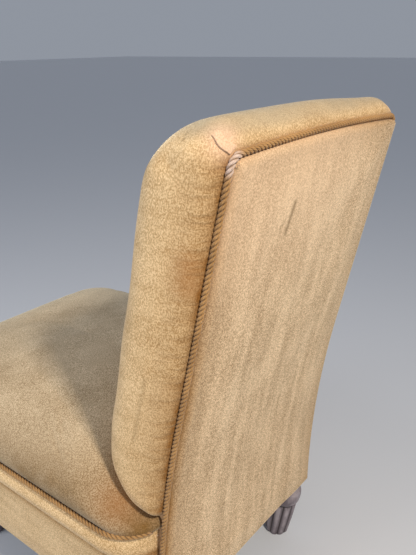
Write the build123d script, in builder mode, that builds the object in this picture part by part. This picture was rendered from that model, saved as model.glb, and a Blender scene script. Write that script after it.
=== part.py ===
from build123d import *
import os
from math import asin, cos, degrees, pi, radians, sin, sqrt, tan

os.makedirs("parts", exist_ok=True)

# An armless cocktail chair, in millimetres. The sitter faces -Y, +X is the sitter's left,
# and the origin is on the floor under the middle of the chair.

# Frame of solid beech
leg_height = 130.0
rail_height = 130.0
rail_thickness = 27.0
frame_width = 390.0
frame_front = -290.0
post_thickness = 28.0
post_depth = 34.0
post_inset = 6.0
top_rail_height = 58.0
top_rail_drop = 16.0
stay_rail_height = 50.0
stay_rail_rise = 240.0
block_leg = 68.0
block_height = 62.0
block_nose = 16.0

# Line of the outside back, seen from the side: upright at the foot, then an arc, then straight
back_foot_y = 229.0
back_rake = 12.25
back_bend_rise = 320.0
cord_top_rise = 615.0
back_side_inset = 3.0
back_side_taper = 18.0
cord_top_crown = 7.0
cord_corner_radius = 12.0

# Turned and reeded legs
front_leg_inset = 49.0
front_leg_setback = 54.0
rear_leg_inset = 24.0
rear_leg_setback = 28.5
rear_leg_lean = 9.0
foot_radius = 21.0
reed_top_radius = 26.5
reed_count = 10
reed_depth = 2.6
reed_length = 76.0
ring_gap = 3.0
ring_radius = 23.0
collar_radius = 29.5
collar_height = 26.0
leg_head_radius = 22.0
tenon_radius = 8.0
tenon_length = 34.0

# Joinery hardware, few-sided because it is hidden
hidden_sides = 8
dowel_radius = 5.0
dowel_length = 40.0
dowel_spacing = 34.0
screw_radius = 2.2
screw_head_radius = 4.2
screw_length = 46.0

# Seat suspension
web_width = 50.0
web_thickness = 1.6
web_overhang = 20.0
spring_end_radius = 42.0
spring_waist_radius = 27.0
spring_turns = 3
spring_wire = 3.6
spring_side_room = 107.0
spring_front_room = 125.0
spring_rear_room = 144.0
hessian_thickness = 1.2
hessian_rise = 42.0

# Seat upholstery
seat_cord_rise = 40.0
seat_side_overhang = 33.0
seat_front_overhang = 34.0
seat_rear_lap = 2.0
seat_swell = 11.5
seat_crown = 78.0
seat_crown_run = 146.0
seat_corner_radius = 50.0
cover_thickness = 2.4
roll_swell = 8.5
roll_ledge = 20.0
border_padding = 10.0
border_swell = 20.0
border_hem = 3.0
cord_stand_off = 1.2
cord_end_gap = 4.0

# Back upholstery
back_depth = 100.0
back_foot_depth = 91.0
back_side_swell = 17.0
back_foot_lift = 60.0
back_belly_rise = 295.0
back_top_stand = 41.0
back_top_slope = 14.0
back_top_front_radius = 88.0
back_top_rear_radius = 22.0
back_foot_radius = 62.0
back_belly_radius = 300.0
back_crown = 10.0
back_web_width = 46.0
panel_thickness = 3.2
panel_puff = 7.0
lining_thickness = 1.2

# Twisted trim cord and fittings
cord_radius = 3.5
cord_sides = 8
dust_cover_thickness = 1.0
tack_head_radius = 3.5
tack_head_height = 1.2
tack_shank = 1.6
tack_length = 11.0
tack_margin = 12.0
tack_pair = 12.0
leg_notch = 36.0

clearance = 0.3
fit = 0.1

# Worked-out values
rake = radians(back_rake)
rail_top = leg_height + rail_height
frame_half = frame_width / 2
rail_inner = frame_half - rail_thickness
front_rail_inner = frame_front + rail_thickness
front_leg_x = frame_half - front_leg_inset
front_leg_y = frame_front + front_leg_setback
rear_leg_x = frame_half - rear_leg_inset
rear_leg_y = back_foot_y - rear_leg_setback
spring_spread_x = frame_half - spring_side_room
spring_front_y = frame_front + spring_front_room
spring_rear_y = back_foot_y - spring_rear_room
seat_half_width = frame_half + seat_side_overhang
seat_front = frame_front - seat_front_overhang
seat_rear = back_foot_y + seat_rear_lap
border_foot_half = frame_half + border_padding
cord_half_foot = frame_half - back_side_inset
cord_half_top = cord_half_foot - back_side_taper
cord_end_x = cord_half_foot + cord_end_gap
back_foot_rise = rail_height + back_foot_lift
back_top_rise = cord_top_rise + back_top_stand
bend_radius = back_bend_rise / sin(rake)
bend_centre_y = back_foot_y + bend_radius
taper = (cord_half_foot - cord_half_top) / cord_top_rise
taper_stretch = sqrt(1 + taper**2)
rear_skin = panel_thickness + lining_thickness + clearance
post_front_depth = rear_skin + post_depth
post_x = cord_half_foot - post_inset - post_thickness / 2
post_half = post_thickness / 2 * taper_stretch
cord_z = rail_top + seat_cord_rise
cord_offset = cord_radius + clearance


def save(part, label):
    """Label a finished piece and write it as its own file."""
    part.label = label
    export_step(part, f"parts/{label}.step")


def rear_y(rise, depth=0.0):
    """Y of the outside-back line at a rise above the frame's foot, moved forward by depth."""
    radius = bend_radius + depth
    bend_rise = radius * sin(rake)
    on_arc = bend_centre_y - sqrt(radius**2 - min(rise, bend_rise) ** 2)
    return on_arc + max(rise - bend_rise, 0) * tan(rake)


def rear_edge(depth, low, high):
    """Add the outside-back line at a depth, from one rise to another, as an arc and a run."""
    bend = (bend_radius + depth) * sin(rake)
    middle = (low + bend) / 2
    ends = [(rear_y(rise, depth), rise) for rise in (low, middle, bend, high)]
    ThreePointArc(*ends[:3])
    Line(ends[2], ends[3])


def side_plane(x, lean):
    """Upright plane at x on the frame's foot, leaning with the taper of the back: (y, rise)."""
    return Plane(origin=(x, 0, leg_height), x_dir=(0, 1, 0), z_dir=(1, 0, lean * taper))


def back_plane(rise, depth):
    """Plane on the outside-back line at a rise and depth: x across, y up the back, z forward."""
    angle = asin(min(rise / bend_radius, sin(rake)))
    origin = (0, rear_y(rise, depth), leg_height + rise)
    return Plane(origin=origin, x_dir=(1, 0, 0), z_dir=(0, -cos(angle), sin(angle)))


def post_body(side, grow=0.0):
    """A back post, sawn to the outside-back line, or its envelope with room around it."""
    top = cord_top_rise - cord_offset
    near, far = rear_skin - grow, post_front_depth + grow
    with BuildPart() as body:
        with BuildSketch(side_plane(side * post_x, side)):
            with BuildLine():
                rear_edge(near, -post_inset, top + grow)
                rear_edge(far, -post_inset, top + grow)
                Line((rear_y(-post_inset, near), -post_inset), (rear_y(-post_inset, far), -post_inset))
                Line((rear_y(top + grow, near), top + grow), (rear_y(top + grow, far), top + grow))
            make_face()
        extrude(amount=post_thickness / 2 + grow, both=True)
        split(bisect_by=Plane.XY.offset(leg_height), keep=Keep.TOP)
    return body.part


def post_inner(rise):
    """Half the free width between the posts at a rise above the frame's foot, up to a front face."""
    return post_x - post_half - taper * (rise + post_depth * sin(rake)) - fit


def leg_axis_plane(x, y, lean):
    """Plane on the leg's top centre, with its normal up the axis; a lean brings the foot forward."""
    tilt = radians(lean)
    return Plane(origin=(x, y, leg_height), x_dir=(1, 0, 0), z_dir=(0, sin(tilt), cos(tilt)))


leg_places = {
    "front_left": (front_leg_x, front_leg_y, 0.0),
    "front_right": (-front_leg_x, front_leg_y, 0.0),
    "rear_left": (rear_leg_x, rear_leg_y, rear_leg_lean),
    "rear_right": (-rear_leg_x, rear_leg_y, rear_leg_lean),
}


def reeded_section(plane, radius):
    """Cross-section of a reeded leg: convex reeds that meet in narrow grooves."""
    step = 2 * pi / reed_count
    with BuildSketch(plane) as section:
        with BuildLine():
            for reed in range(reed_count):
                start, middle, end = (step * (reed + part) for part in (0, 0.5, 1))
                groove = radius - reed_depth
                ThreePointArc(
                    (groove * cos(start), groove * sin(start)),
                    (radius * cos(middle), radius * sin(middle)),
                    (groove * cos(end), groove * sin(end)),
                )
        make_face()
    return section.sketch


# Legs: reeded taper, ring groove, round collar and plain head, with a tenon into the frame
for place, (leg_x, leg_y, lean) in leg_places.items():
    axis = leg_axis_plane(leg_x, leg_y, lean)
    axis_length = leg_height / cos(radians(lean))
    reed_top = reed_length - axis_length
    collar_low = reed_top + ring_gap
    collar_top = collar_low + collar_height
    spare = collar_radius * tan(radians(lean))
    with BuildPart() as leg:
        foot = -axis_length - spare
        reeds = [
            reeded_section(axis.offset(foot), foot_radius),
            reeded_section(axis.offset(reed_top), reed_top_radius),
        ]
        loft(reeds, ruled=True)
        with BuildSketch(Plane(axis.origin, x_dir=axis.x_dir, z_dir=-axis.y_dir)):
            with BuildLine():
                Polyline(
                    (0, reed_top),
                    (ring_radius, reed_top),
                    (ring_radius, collar_low),
                    (reed_top_radius, collar_low),
                )
                ThreePointArc(
                    (reed_top_radius, collar_low),
                    (collar_radius, (collar_low + collar_top) / 2),
                    (leg_head_radius, collar_top),
                )
                Polyline((leg_head_radius, collar_top), (leg_head_radius, spare), (0, spare), (0, reed_top))
            make_face()
        revolve(axis=Axis(axis.origin, axis.z_dir))
        split(bisect_by=Plane.XY, keep=Keep.TOP)
        split(bisect_by=Plane.XY.offset(leg_height), keep=Keep.BOTTOM)
        with BuildSketch(axis.offset(-tenon_radius)):
            Circle(tenon_radius - fit)
        extrude(amount=tenon_radius + tenon_length)
    save(leg.part, f"{place}_leg")


def tenon_hole(place):
    """Cut the hole that a leg's tenon fits, in the piece being built."""
    leg_x, leg_y, lean = leg_places[place]
    with BuildSketch(leg_axis_plane(leg_x, leg_y, lean).offset(-tenon_radius)) as bore:
        Circle(tenon_radius)
    extrude(bore.sketch, amount=tenon_length + tenon_radius + clearance, mode=Mode.SUBTRACT)


# Dowels: a place, a direction along the dowel, and how far it reaches each way
front_dowel_z = [leg_height + rail_height / 2 + step * dowel_spacing for step in (-1, 1)]
rear_dowel_z = [leg_height + tenon_length + step * dowel_spacing for step in (1, 2)]
rail_middle = frame_half - rail_thickness / 2
rear_rail_y = rear_y(0, rear_skin)
front_dowels = [
    Plane(origin=(side * rail_middle, front_rail_inner, z), z_dir=(0, 1, 0))
    for side in (1, -1)
    for z in front_dowel_z
]
rear_dowels = [
    Plane(
        origin=(side * post_inner(z - leg_height), rear_rail_y - rail_thickness / 2, z),
        z_dir=(side, 0, 0),
    )
    for side in (1, -1)
    for z in rear_dowel_z
]


def back_dowels(rise, spacing):
    """Planes of the dowels that join a cross rail of the back to both posts."""
    plane = back_plane(rise, rear_skin)
    places = []
    for side in (1, -1):
        for step in (-0.5, 0.5):
            up = step * spacing
            reach = post_inner(rise + up)
            centre = plane.from_local_coords((side * reach, up, post_depth / 2))
            places.append(Plane(origin=centre, z_dir=(side, 0, 0)))
    return places


top_rail_rise = cord_top_rise - top_rail_drop - top_rail_height / 2
top_dowels = back_dowels(top_rail_rise, top_rail_height / 2)
stay_dowels = back_dowels(stay_rail_rise, stay_rail_height / 2)


def dowel_holes(places):
    """Cut the holes of a set of dowels in the piece being built."""
    for place in places:
        with BuildSketch(place) as bore:
            RegularPolygon(dowel_radius, hidden_sides)
        extrude(bore.sketch, amount=dowel_length / 2 + clearance, both=True, mode=Mode.SUBTRACT)


with BuildPart() as frame_dowels:
    for dowel_place in front_dowels + rear_dowels + top_dowels + stay_dowels:
        with BuildSketch(dowel_place):
            RegularPolygon(dowel_radius - fit, hidden_sides)
        extrude(amount=dowel_length / 2, both=True)
save(frame_dowels.part, "frame_dowels")

# Corner blocks: one in each inner corner of the seat frame, screwed to both sides
side_rail_end = rear_y(0, post_front_depth)
block_corners = {
    "front_left": (1, 1, front_rail_inner),
    "front_right": (-1, 1, front_rail_inner),
    "rear_left": (1, -1, side_rail_end),
    "rear_right": (-1, -1, side_rail_end),
}
screw_z = leg_height + block_height * 0.7


def block_screws(corner):
    """Axes of a corner block's two screws: one into the side rail, one into the end piece."""
    side, inward, end_y = block_corners[corner]
    reach = block_leg * 0.66
    start = screw_length * 0.42
    into_side = Plane(
        origin=(side * (rail_inner - start), end_y + inward * reach, screw_z),
        z_dir=(side, 0, 0),
    )
    into_end = Plane(
        origin=(side * (rail_inner - block_nose / 2), end_y + inward * start, screw_z - block_height / 3),
        z_dir=(0, -inward, 0),
    )
    return [into_side, into_end]


def screw_holes(corners):
    """Cut the holes that the corner-block screws run in, in the piece being built."""
    for corner in corners:
        for place in block_screws(corner):
            with BuildSketch(place) as bore:
                RegularPolygon(screw_radius + fit, hidden_sides)
            extrude(bore.sketch, amount=screw_length + clearance, mode=Mode.SUBTRACT)
            with BuildSketch(place.offset(clearance)) as counterbore:
                RegularPolygon(screw_head_radius + clearance, hidden_sides)
            extrude(counterbore.sketch, amount=-block_leg, mode=Mode.SUBTRACT)


for corner, (side, inward, end_y) in block_corners.items():
    with BuildPart() as block:
        with BuildSketch(Plane.XY.offset(leg_height)):
            with BuildLine():
                Polyline(
                    (side * rail_inner, end_y),
                    (side * (rail_inner - block_leg), end_y),
                    (side * (rail_inner - block_leg), end_y + inward * block_nose),
                    (side * (rail_inner - block_nose), end_y + inward * block_leg),
                    (side * rail_inner, end_y + inward * block_leg),
                    close=True,
                )
            make_face()
        extrude(amount=block_height)
        if corner.startswith("front"):
            tenon_hole(corner)
        screw_holes([corner])
    save(block.part, f"{corner}_corner_block")

with BuildPart() as corner_block_screws:
    for corner in block_corners:
        for screw_place in block_screws(corner):
            with BuildSketch(screw_place):
                RegularPolygon(screw_radius, hidden_sides)
            extrude(amount=screw_length)
            with BuildSketch(screw_place):
                RegularPolygon(screw_head_radius, hidden_sides)
            extrude(amount=-screw_head_radius / 2)
save(corner_block_screws.part, "corner_block_screws")

# Tacks of the dust cover, in pairs between the webbing strips
spring_middle_y = (spring_front_y + spring_rear_y) / 2
web_low = leg_height - 2 * web_thickness
dust_low = web_low - dust_cover_thickness
web_gaps_y = [(spring_front_y + spring_middle_y) / 2, (spring_middle_y + spring_rear_y) / 2]
tack_places = [
    (side * (frame_half - tack_margin), gap + step * tack_pair)
    for side in (1, -1)
    for gap in web_gaps_y
    for step in (-1, 1)
] + [
    (side * spring_spread_x / 2 + step * tack_pair / 2, end_y)
    for side in (1, -1)
    for end_y in (frame_front + tack_margin, rear_rail_y - tack_margin)
    for step in (-1, 1)
]


def tack_holes():
    """Drill for the dust cover's tacks in the piece being built."""
    with BuildSketch(Plane.XY.offset(dust_low)) as bores:
        with Locations(*tack_places):
            Rectangle(tack_shank + 2 * fit, tack_shank + 2 * fit)
    extrude(bores.sketch, amount=tack_length + clearance, mode=Mode.SUBTRACT)


# Seat rails and the back's posts and cross rails
with BuildPart() as front_rail:
    with BuildSketch(Plane.XY.offset(leg_height)):
        with Locations((0, frame_front + rail_thickness / 2)):
            Rectangle(frame_width, rail_thickness)
    extrude(amount=rail_height)
    dowel_holes(front_dowels)
    screw_holes(["front_left", "front_right"])
    tack_holes()
save(front_rail.part, "front_seat_rail")

for side, hand in ((1, "left"), (-1, "right")):
    with BuildPart() as side_rail:
        with BuildSketch(Plane.YZ.offset(side * rail_middle)):
            end_depth = post_front_depth + fit
            end_rises = (0, rail_height / 2, rail_height)
            rail_end = [(rear_y(rise, end_depth), leg_height + rise) for rise in end_rises]
            with BuildLine():
                ThreePointArc(*rail_end)
                Polyline(rail_end[2], (front_rail_inner, rail_top), (front_rail_inner, leg_height), rail_end[0])
            make_face()
        extrude(amount=rail_thickness / 2, both=True)
        dowel_holes(front_dowels)
        screw_holes([f"front_{hand}", f"rear_{hand}"])
        tack_holes()
    save(side_rail.part, f"{hand}_seat_rail")

    with BuildPart() as post:
        add(post_body(side))
        tenon_hole(f"rear_{hand}")
        dowel_holes(rear_dowels + top_dowels + stay_dowels)
        screw_holes([f"rear_{hand}"])
    save(post.part, f"{hand}_back_post")

with BuildPart() as rear_rail:
    with BuildSketch(Plane.XZ.offset(-rear_rail_y)):
        with BuildLine():
            Polyline(
                (-post_inner(0), leg_height),
                (post_inner(0), leg_height),
                (post_inner(rail_height), rail_top),
                (-post_inner(rail_height), rail_top),
                close=True,
            )
        make_face()
    extrude(amount=rail_thickness)
    dowel_holes(rear_dowels)
    tack_holes()
save(rear_rail.part, "rear_seat_rail")

for rail_name, rise, height, dowels in (
    ("back_top_rail", top_rail_rise, top_rail_height, top_dowels),
    ("back_stay_rail", stay_rail_rise, stay_rail_height, stay_dowels),
):
    with BuildPart() as cross_rail:
        with BuildSketch(back_plane(rise, rear_skin)):
            with BuildLine():
                Polyline(
                    (-post_inner(rise - height / 2), -height / 2),
                    (post_inner(rise - height / 2), -height / 2),
                    (post_inner(rise + height / 2), height / 2),
                    (-post_inner(rise + height / 2), height / 2),
                    close=True,
                )
            make_face()
        extrude(amount=post_depth - clearance)
        dowel_holes(dowels)
    save(cross_rail.part, rail_name)

# Seat webbing under the rails: lengthwise strips below, crosswise strips above
web_front = frame_front + web_overhang / 2
web_rear = rear_rail_y - web_overhang / 2
web_x_places = [-spring_spread_x, 0, spring_spread_x]
web_y_places = [spring_front_y, spring_middle_y, spring_rear_y]
with BuildPart() as seat_webbing:
    with BuildSketch(Plane.XY.offset(leg_height - web_thickness)):
        for web_y in web_y_places:
            with Locations((0, web_y)):
                Rectangle(frame_width - web_overhang, web_width)
    extrude(amount=web_thickness)
    with BuildSketch(Plane.XY.offset(web_low)):
        for web_x in web_x_places:
            with Locations((web_x, (web_front + web_rear) / 2)):
                Rectangle(web_width, web_rear - web_front)
    extrude(amount=web_thickness)
save(seat_webbing.part, "seat_webbing")

# Hourglass springs on the webbing, each one unbroken square wire, lofted in short straight runs
hessian_top = rail_top + hessian_rise
spring_reach = spring_wire / 2 + clearance
spring_low = leg_height + spring_reach
spring_high = hessian_top - hessian_thickness - spring_reach
runs_per_turn = 12
spring_runs = spring_turns * runs_per_turn


def spring_point(turn):
    """Centre of the wire after a number of turns: a helix drawn in to a waist half-way up."""
    share = turn / spring_turns
    waist = 1 - (2 * share - 1) ** 2
    radius = spring_end_radius - (spring_end_radius - spring_waist_radius) * waist
    height = spring_low + (spring_high - spring_low) * share
    return Vector(radius * cos(2 * pi * turn), radius * sin(2 * pi * turn), height)


def spring_direction(turn):
    """Direction of the wire after a number of turns, from two points close by."""
    step = 0.001
    return (spring_point(turn + step) - spring_point(turn - step)).normalized()


def spring_section(turn):
    """Square section of the wire after a number of turns, one side towards the spring's axis."""
    centre = spring_point(turn)
    inward = Vector(-centre.X, -centre.Y, 0)
    with BuildSketch(Plane(centre, x_dir=inward, z_dir=spring_direction(turn))) as section:
        Rectangle(spring_wire, spring_wire)
    return section.sketch


spring_places = [
    (side * spring_spread_x, y) for y in (spring_front_y, spring_rear_y) for side in (1, -1)
] + [(0, spring_middle_y)]
spring_centres = [spring_point(run / runs_per_turn) for run in range(spring_runs + 1)]
spring_gap = min(
    (spring_centres[i] - spring_centres[j]).length
    for i in range(spring_runs + 1)
    for j in range(i)
    if i - j > runs_per_turn / 2
)
print(f"least gap of a spring to itself: {spring_gap - spring_wire * sqrt(2):.2f} mm")
with BuildPart() as one_spring:
    for run in range(spring_runs + 1):
        add(spring_section(run / runs_per_turn))
    loft(ruled=True)
seat_springs = Compound([one_spring.part.solid().moved(Location((x, y, 0))) for x, y in spring_places])
save(seat_springs, "seat_springs")

# Spring canvas: tacked to the rail tops and lifted over the springs
foot_half = frame_half - roll_ledge
foot_front = frame_front + roll_ledge
canvas_ledge = foot_half - clearance
canvas_front = foot_front + clearance
canvas_rear = rear_rail_y - rail_thickness / 2
canvas_run = hessian_rise * 0.9


def canvas_form(sink):
    """Block under the spring canvas: a low hip roof on the rail tops, sunk by a thickness."""
    low = rail_top
    with BuildPart() as form:
        for level, inset in ((low, sink), (hessian_top - sink, canvas_run + sink / 2)):
            with BuildSketch(Plane.XY.offset(level)):
                with Locations((0, (canvas_front + canvas_rear) / 2)):
                    Rectangle(2 * (canvas_ledge - inset), canvas_rear - canvas_front - 2 * inset)
        loft(ruled=True)
    return form.part


post_rooms = [post_body(side, clearance) for side in (1, -1)]
with BuildPart() as seat_hessian:
    add(canvas_form(0))
    add(canvas_form(hessian_thickness), mode=Mode.SUBTRACT)
    for room in post_rooms:
        add(room, mode=Mode.SUBTRACT)
save(seat_hessian.part, "seat_hessian")


def plan(level, half, front, rear, radius):
    """A rounded rectangle seen from above, at a height: half-width, front and rear limits."""
    with BuildSketch(Plane.XY.offset(level)) as outline:
        with Locations((0, (front + rear) / 2)):
            RectangleRounded(2 * half, rear - front, radius)
    return outline.sketch


# The seat's crown: how far up, how far in at the front and sides, and how far in at the rear
seat_shape = (
    (0.0, 0.0, 0.0),
    (0.14, -0.7, 0.01),
    (0.30, -1.0, 0.16),
    (0.48, -0.5, 0.36),
    (0.64, 0.05, 0.49),
    (0.78, 0.18, 0.60),
    (0.90, 0.38, 0.75),
    (0.97, 0.62, 0.90),
    (1.0, 0.88, 1.05),
)


def seat_form(inset):
    """The seat above its cord: drawn in at the cord, swelling, then crowned."""
    with BuildPart() as form:
        for rise, run, rear_run in seat_shape:
            in_side = run * (seat_crown_run if run > 0 else seat_swell) + inset
            in_rear = rear_run * seat_crown_run + inset
            radius = seat_corner_radius * (1 + 0.6 * max(run, 0)) - inset
            level = cord_z + rise * (seat_crown - inset)
            add(plan(level, seat_half_width - in_side, seat_front + in_side, seat_rear - in_rear, radius))
        loft(ruled=True)
    return form.part


seat_inner = seat_form(cover_thickness)
with BuildPart() as seat_cover:
    add(seat_form(0))
    add(seat_inner, mode=Mode.SUBTRACT)
    for room in post_rooms:
        add(room, mode=Mode.SUBTRACT)
save(seat_cover.part, "seat_cover")

# Stuffing: the crown under the cover, with a foot that fills round the canvas inside the roll
foot_rear = rear_y(rail_height, post_front_depth) - clearance
with BuildPart() as seat_stuffing:
    add(seat_form(cover_thickness + clearance))
    with BuildSketch(Plane.XY.offset(rail_top + clearance)):
        with Locations((0, (foot_front + foot_rear) / 2)):
            Rectangle(2 * (foot_half - clearance), foot_rear - foot_front - 2 * clearance)
    extrude(amount=seat_cord_rise)
    add(canvas_form(-clearance), mode=Mode.SUBTRACT)
    for room in post_rooms:
        add(room, mode=Mode.SUBTRACT)
save(seat_stuffing.part, "seat_stuffing")

# Edge roll on the rail tops and padded border on the rails, both open behind
roll_shape = ((0.0, -0.7), (0.12, 0.1), (0.3, 0.7), (0.52, 1.0), (0.72, 0.85), (0.88, 0.45), (1.0, 0.0))
with BuildPart() as seat_edge_roll:
    for rise, swell in roll_shape:
        grown = swell * roll_swell
        level = rail_top + clearance + rise * (seat_cord_rise - 2 * clearance)
        radius = seat_corner_radius + grown
        add(plan(level, seat_half_width + grown, seat_front - grown, seat_rear, radius))
    loft(ruled=True)
    with BuildSketch(Plane.XY.offset(rail_top)):
        with Locations((0, (foot_front + frame_width) / 2)):
            Rectangle(2 * foot_half, frame_width - foot_front)
    extrude(amount=seat_cord_rise, mode=Mode.SUBTRACT)
    for room in post_rooms:
        add(room, mode=Mode.SUBTRACT)
save(seat_edge_roll.part, "seat_edge_roll")

border_shape = ((0.0, 0.0), (0.3, 0.5), (0.68, 0.85), (0.93, 1.0), (1.0, 0.9))
with BuildPart() as rail_border:
    for rise, swell in border_shape:
        grown = swell * border_swell
        level = leg_height - border_hem + rise * (rail_height + border_hem)
        radius = seat_corner_radius - seat_half_width + border_foot_half + grown
        front = seat_front + seat_half_width - border_foot_half - grown
        add(plan(level, border_foot_half + grown, front, seat_rear, radius))
    loft(ruled=True)
    with BuildSketch(Plane.XY.offset(leg_height - border_hem)):
        with Locations((0, (frame_front + frame_width) / 2)):
            Rectangle(frame_width, frame_width - frame_front)
    extrude(amount=rail_height + border_hem, mode=Mode.SUBTRACT)
save(rail_border.part, "rail_border")

# Seat cord: round the seat in the crease over the roll, ending at the back's cord on each side
cord_half = seat_half_width + cord_offset + cord_stand_off
cord_front = seat_front - cord_offset - cord_stand_off
cord_rear = seat_rear + cord_offset
cord_radius_round = seat_corner_radius + cord_offset
corner_x = cord_half - cord_radius_round
rear_corner_y = cord_rear - cord_radius_round
front_corner_y = cord_front + cord_radius_round
end_angle = degrees(asin((cord_end_x - corner_x) / cord_radius_round))
with BuildPart() as seat_cord:
    with BuildLine(Plane.XY.offset(cord_z)) as seat_cord_line:
        CenterArc((corner_x, rear_corner_y), cord_radius_round, 90 - end_angle, end_angle - 90)
        Line((cord_half, rear_corner_y), (cord_half, front_corner_y))
        CenterArc((corner_x, front_corner_y), cord_radius_round, 0, -90)
        Line((corner_x, cord_front), (-corner_x, cord_front))
        CenterArc((-corner_x, front_corner_y), cord_radius_round, 270, -90)
        Line((-cord_half, front_corner_y), (-cord_half, rear_corner_y))
        CenterArc((-corner_x, rear_corner_y), cord_radius_round, 180, end_angle - 90)
    seat_cord_path = seat_cord_line.wire()
    with BuildSketch(Plane(seat_cord_path @ 0, z_dir=seat_cord_path % 0)):
        RegularPolygon(cord_radius, cord_sides)
    sweep(path=seat_cord_path)
save(seat_cord.part, "seat_cord")


def back_section(share, half, inset, crown, rear_depth):
    """Upright section of the back's padding at a share of its half-width, as a closed face."""
    top, foot = back_top_rise - inset, back_foot_rise + inset
    start = cord_top_rise - 1.6 * back_top_rear_radius
    front_run = back_depth + crown - inset
    top_rear = (rear_y(top, rear_depth), top)
    fall = (top_rear[0] - rear_y(top) + front_run) * tan(radians(back_top_slope))
    top_front = (rear_y(top - fall) - front_run, top - fall)
    belly = (rear_y(back_belly_rise) - front_run, back_belly_rise)
    foot_front = (rear_y(foot) - back_foot_depth - crown + inset, foot)
    foot_rear = (rear_y(foot, rear_depth), foot)
    radii = [
        back_top_rear_radius - 0.3 * inset,
        back_top_front_radius - inset,
        back_belly_radius,
        back_foot_radius - inset,
    ]
    with BuildSketch(side_plane(share * half, share)) as section:
        with BuildLine():
            rear_edge(rear_depth, foot, start)
            corners = ((rear_y(start, rear_depth), start), top_rear, top_front, belly, foot_front, foot_rear)
            FilletPolyline(*corners, radius=radii)
        make_face()
    return section.sketch


back_shape = ((-1.0, 24.0, 0.0), (-0.985, 14.0, 0.0), (-0.94, 7.0, 0.1), (-0.85, 2.0, 0.4), (-0.5, 0.0, 0.85), (0.0, 0.0, 1.0))


def back_form(inset, rear_depth):
    """The back's padding: full in the middle and drawn in towards both sides."""
    half = cord_half_foot + back_side_swell - inset
    shares = back_shape + tuple((-share, pull, crown) for share, pull, crown in back_shape[-2::-1])
    with BuildPart() as form:
        for share, pull, crown in shares:
            add(back_section(share, half, pull + inset, crown * back_crown, rear_depth))
        loft(ruled=True)
    return form.part


rim_depth = cord_offset
seat_room = seat_form(-clearance)

# Room for the back's frame, webbing and canvas inside the stuffing
frame_room_depth = post_front_depth + 2 * web_thickness + hessian_thickness + fit
frame_room_top = cord_top_rise - cord_offset + 4 * clearance
frame_room_half = post_x + post_half + clearance


def back_strip(near, far, low, high, half):
    """A sheet along the line of the back, between two depths and two rises, tapering with the back."""
    sections = []
    for share in (-1, 0, 1):
        with BuildSketch(side_plane(share * half, share)) as section:
            with BuildLine():
                rear_edge(near, low, high)
                rear_edge(far, low, high)
                Line((rear_y(low, near), low), (rear_y(low, far), low))
                Line((rear_y(high, near), high), (rear_y(high, far), high))
            make_face()
        sections.append(section.sketch)
    with BuildPart() as strip:
        add(sections)
        loft(ruled=True)
    return strip.part


opening_half = cord_half_foot - cord_radius
opening_top = cord_top_rise - cord_radius
with BuildPart() as back_cover:
    add(back_form(0, rim_depth))
    add(back_form(cover_thickness, rim_depth + cover_thickness), mode=Mode.SUBTRACT)
    add(
        back_strip(-back_depth / 4, post_front_depth + clearance, 0, opening_top, opening_half),
        mode=Mode.SUBTRACT,
    )
    add(seat_room, mode=Mode.SUBTRACT)
    for room in post_rooms:
        add(room, mode=Mode.SUBTRACT)
save(back_cover.part, "back_cover")

with BuildPart() as back_stuffing:
    add(back_form(cover_thickness + clearance, rim_depth + cover_thickness + clearance))
    add(
        back_strip(-back_depth / 4, frame_room_depth + clearance, 0, frame_room_top, frame_room_half),
        mode=Mode.SUBTRACT,
    )
    add(seat_room, mode=Mode.SUBTRACT)
save(back_stuffing.part, "back_stuffing")

# Back webbing on the front of the frame: three strips up the back, then four across
web_foot = stay_rail_rise - stay_rail_height / 2
web_head = cord_top_rise - top_rail_drop
web_pitch = back_web_width * 2.1
cross_low = back_bend_rise + back_web_width
cross_high = web_head - back_web_width
with BuildPart() as back_webbing:
    for step in (-1, 0, 1):
        with BuildSketch(side_plane(step * web_pitch, 0)):
            with BuildLine():
                near, far = post_front_depth, post_front_depth + web_thickness
                rear_edge(near, web_foot, web_head)
                rear_edge(far, web_foot, web_head)
                Line((rear_y(web_foot, near), web_foot), (rear_y(web_foot, far), web_foot))
                Line((rear_y(web_head, near), web_head), (rear_y(web_head, far), web_head))
            make_face()
        extrude(amount=back_web_width / 2, both=True)
    for step in range(3):
        rise = cross_low + (cross_high - cross_low) * step / 2
        reach = post_inner(rise) + post_thickness * 0.8
        with BuildSketch(back_plane(rise, post_front_depth + web_thickness)):
            Rectangle(2 * reach, back_web_width)
        extrude(amount=web_thickness)
save(back_webbing.part, "back_webbing")

with BuildPart() as back_hessian:
    canvas_depth = post_front_depth + 2 * web_thickness + fit
    canvas_half = post_x + post_half / 2
    add(back_strip(canvas_depth, canvas_depth + hessian_thickness, web_foot, web_head, canvas_half))
save(back_hessian.part, "back_hessian")

# Outside back: a lining on the posts, and a padded panel that is fullest in the middle
panel_half = cord_half_foot - cord_offset
panel_top = cord_top_rise - cord_offset
with BuildPart() as outside_back_lining:
    lining_far = panel_thickness + lining_thickness
    add(back_strip(panel_thickness, lining_far, 0, panel_top - cord_radius, panel_half - 3 * cord_radius))
save(outside_back_lining.part, "outside_back_lining")

corner_share = 1 - cord_corner_radius / cord_half_top
panel_shares = (-1, -corner_share, -0.75, -0.4, 0, 0.4, 0.75, corner_share, 1)
with BuildPart() as outside_back_panel:
    for share in panel_shares:
        near = -panel_puff * (1 - share**2)
        far = panel_thickness - fit
        low = -border_hem
        high = panel_top + cord_top_crown * min(1 - abs(share), 0.76)
        if abs(share) == 1:
            high = cord_top_rise - cord_corner_radius
        with BuildSketch(side_plane(share * panel_half, share)):
            with BuildLine():
                rear_edge(near, low, high)
                rear_edge(far, low, high)
                Line((rear_y(low, near), low), (rear_y(low, far), low))
                Line((rear_y(high, near), high), (rear_y(high, far), high))
            make_face()
    loft(ruled=True)
save(outside_back_panel.part, "outside_back_panel")


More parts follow.
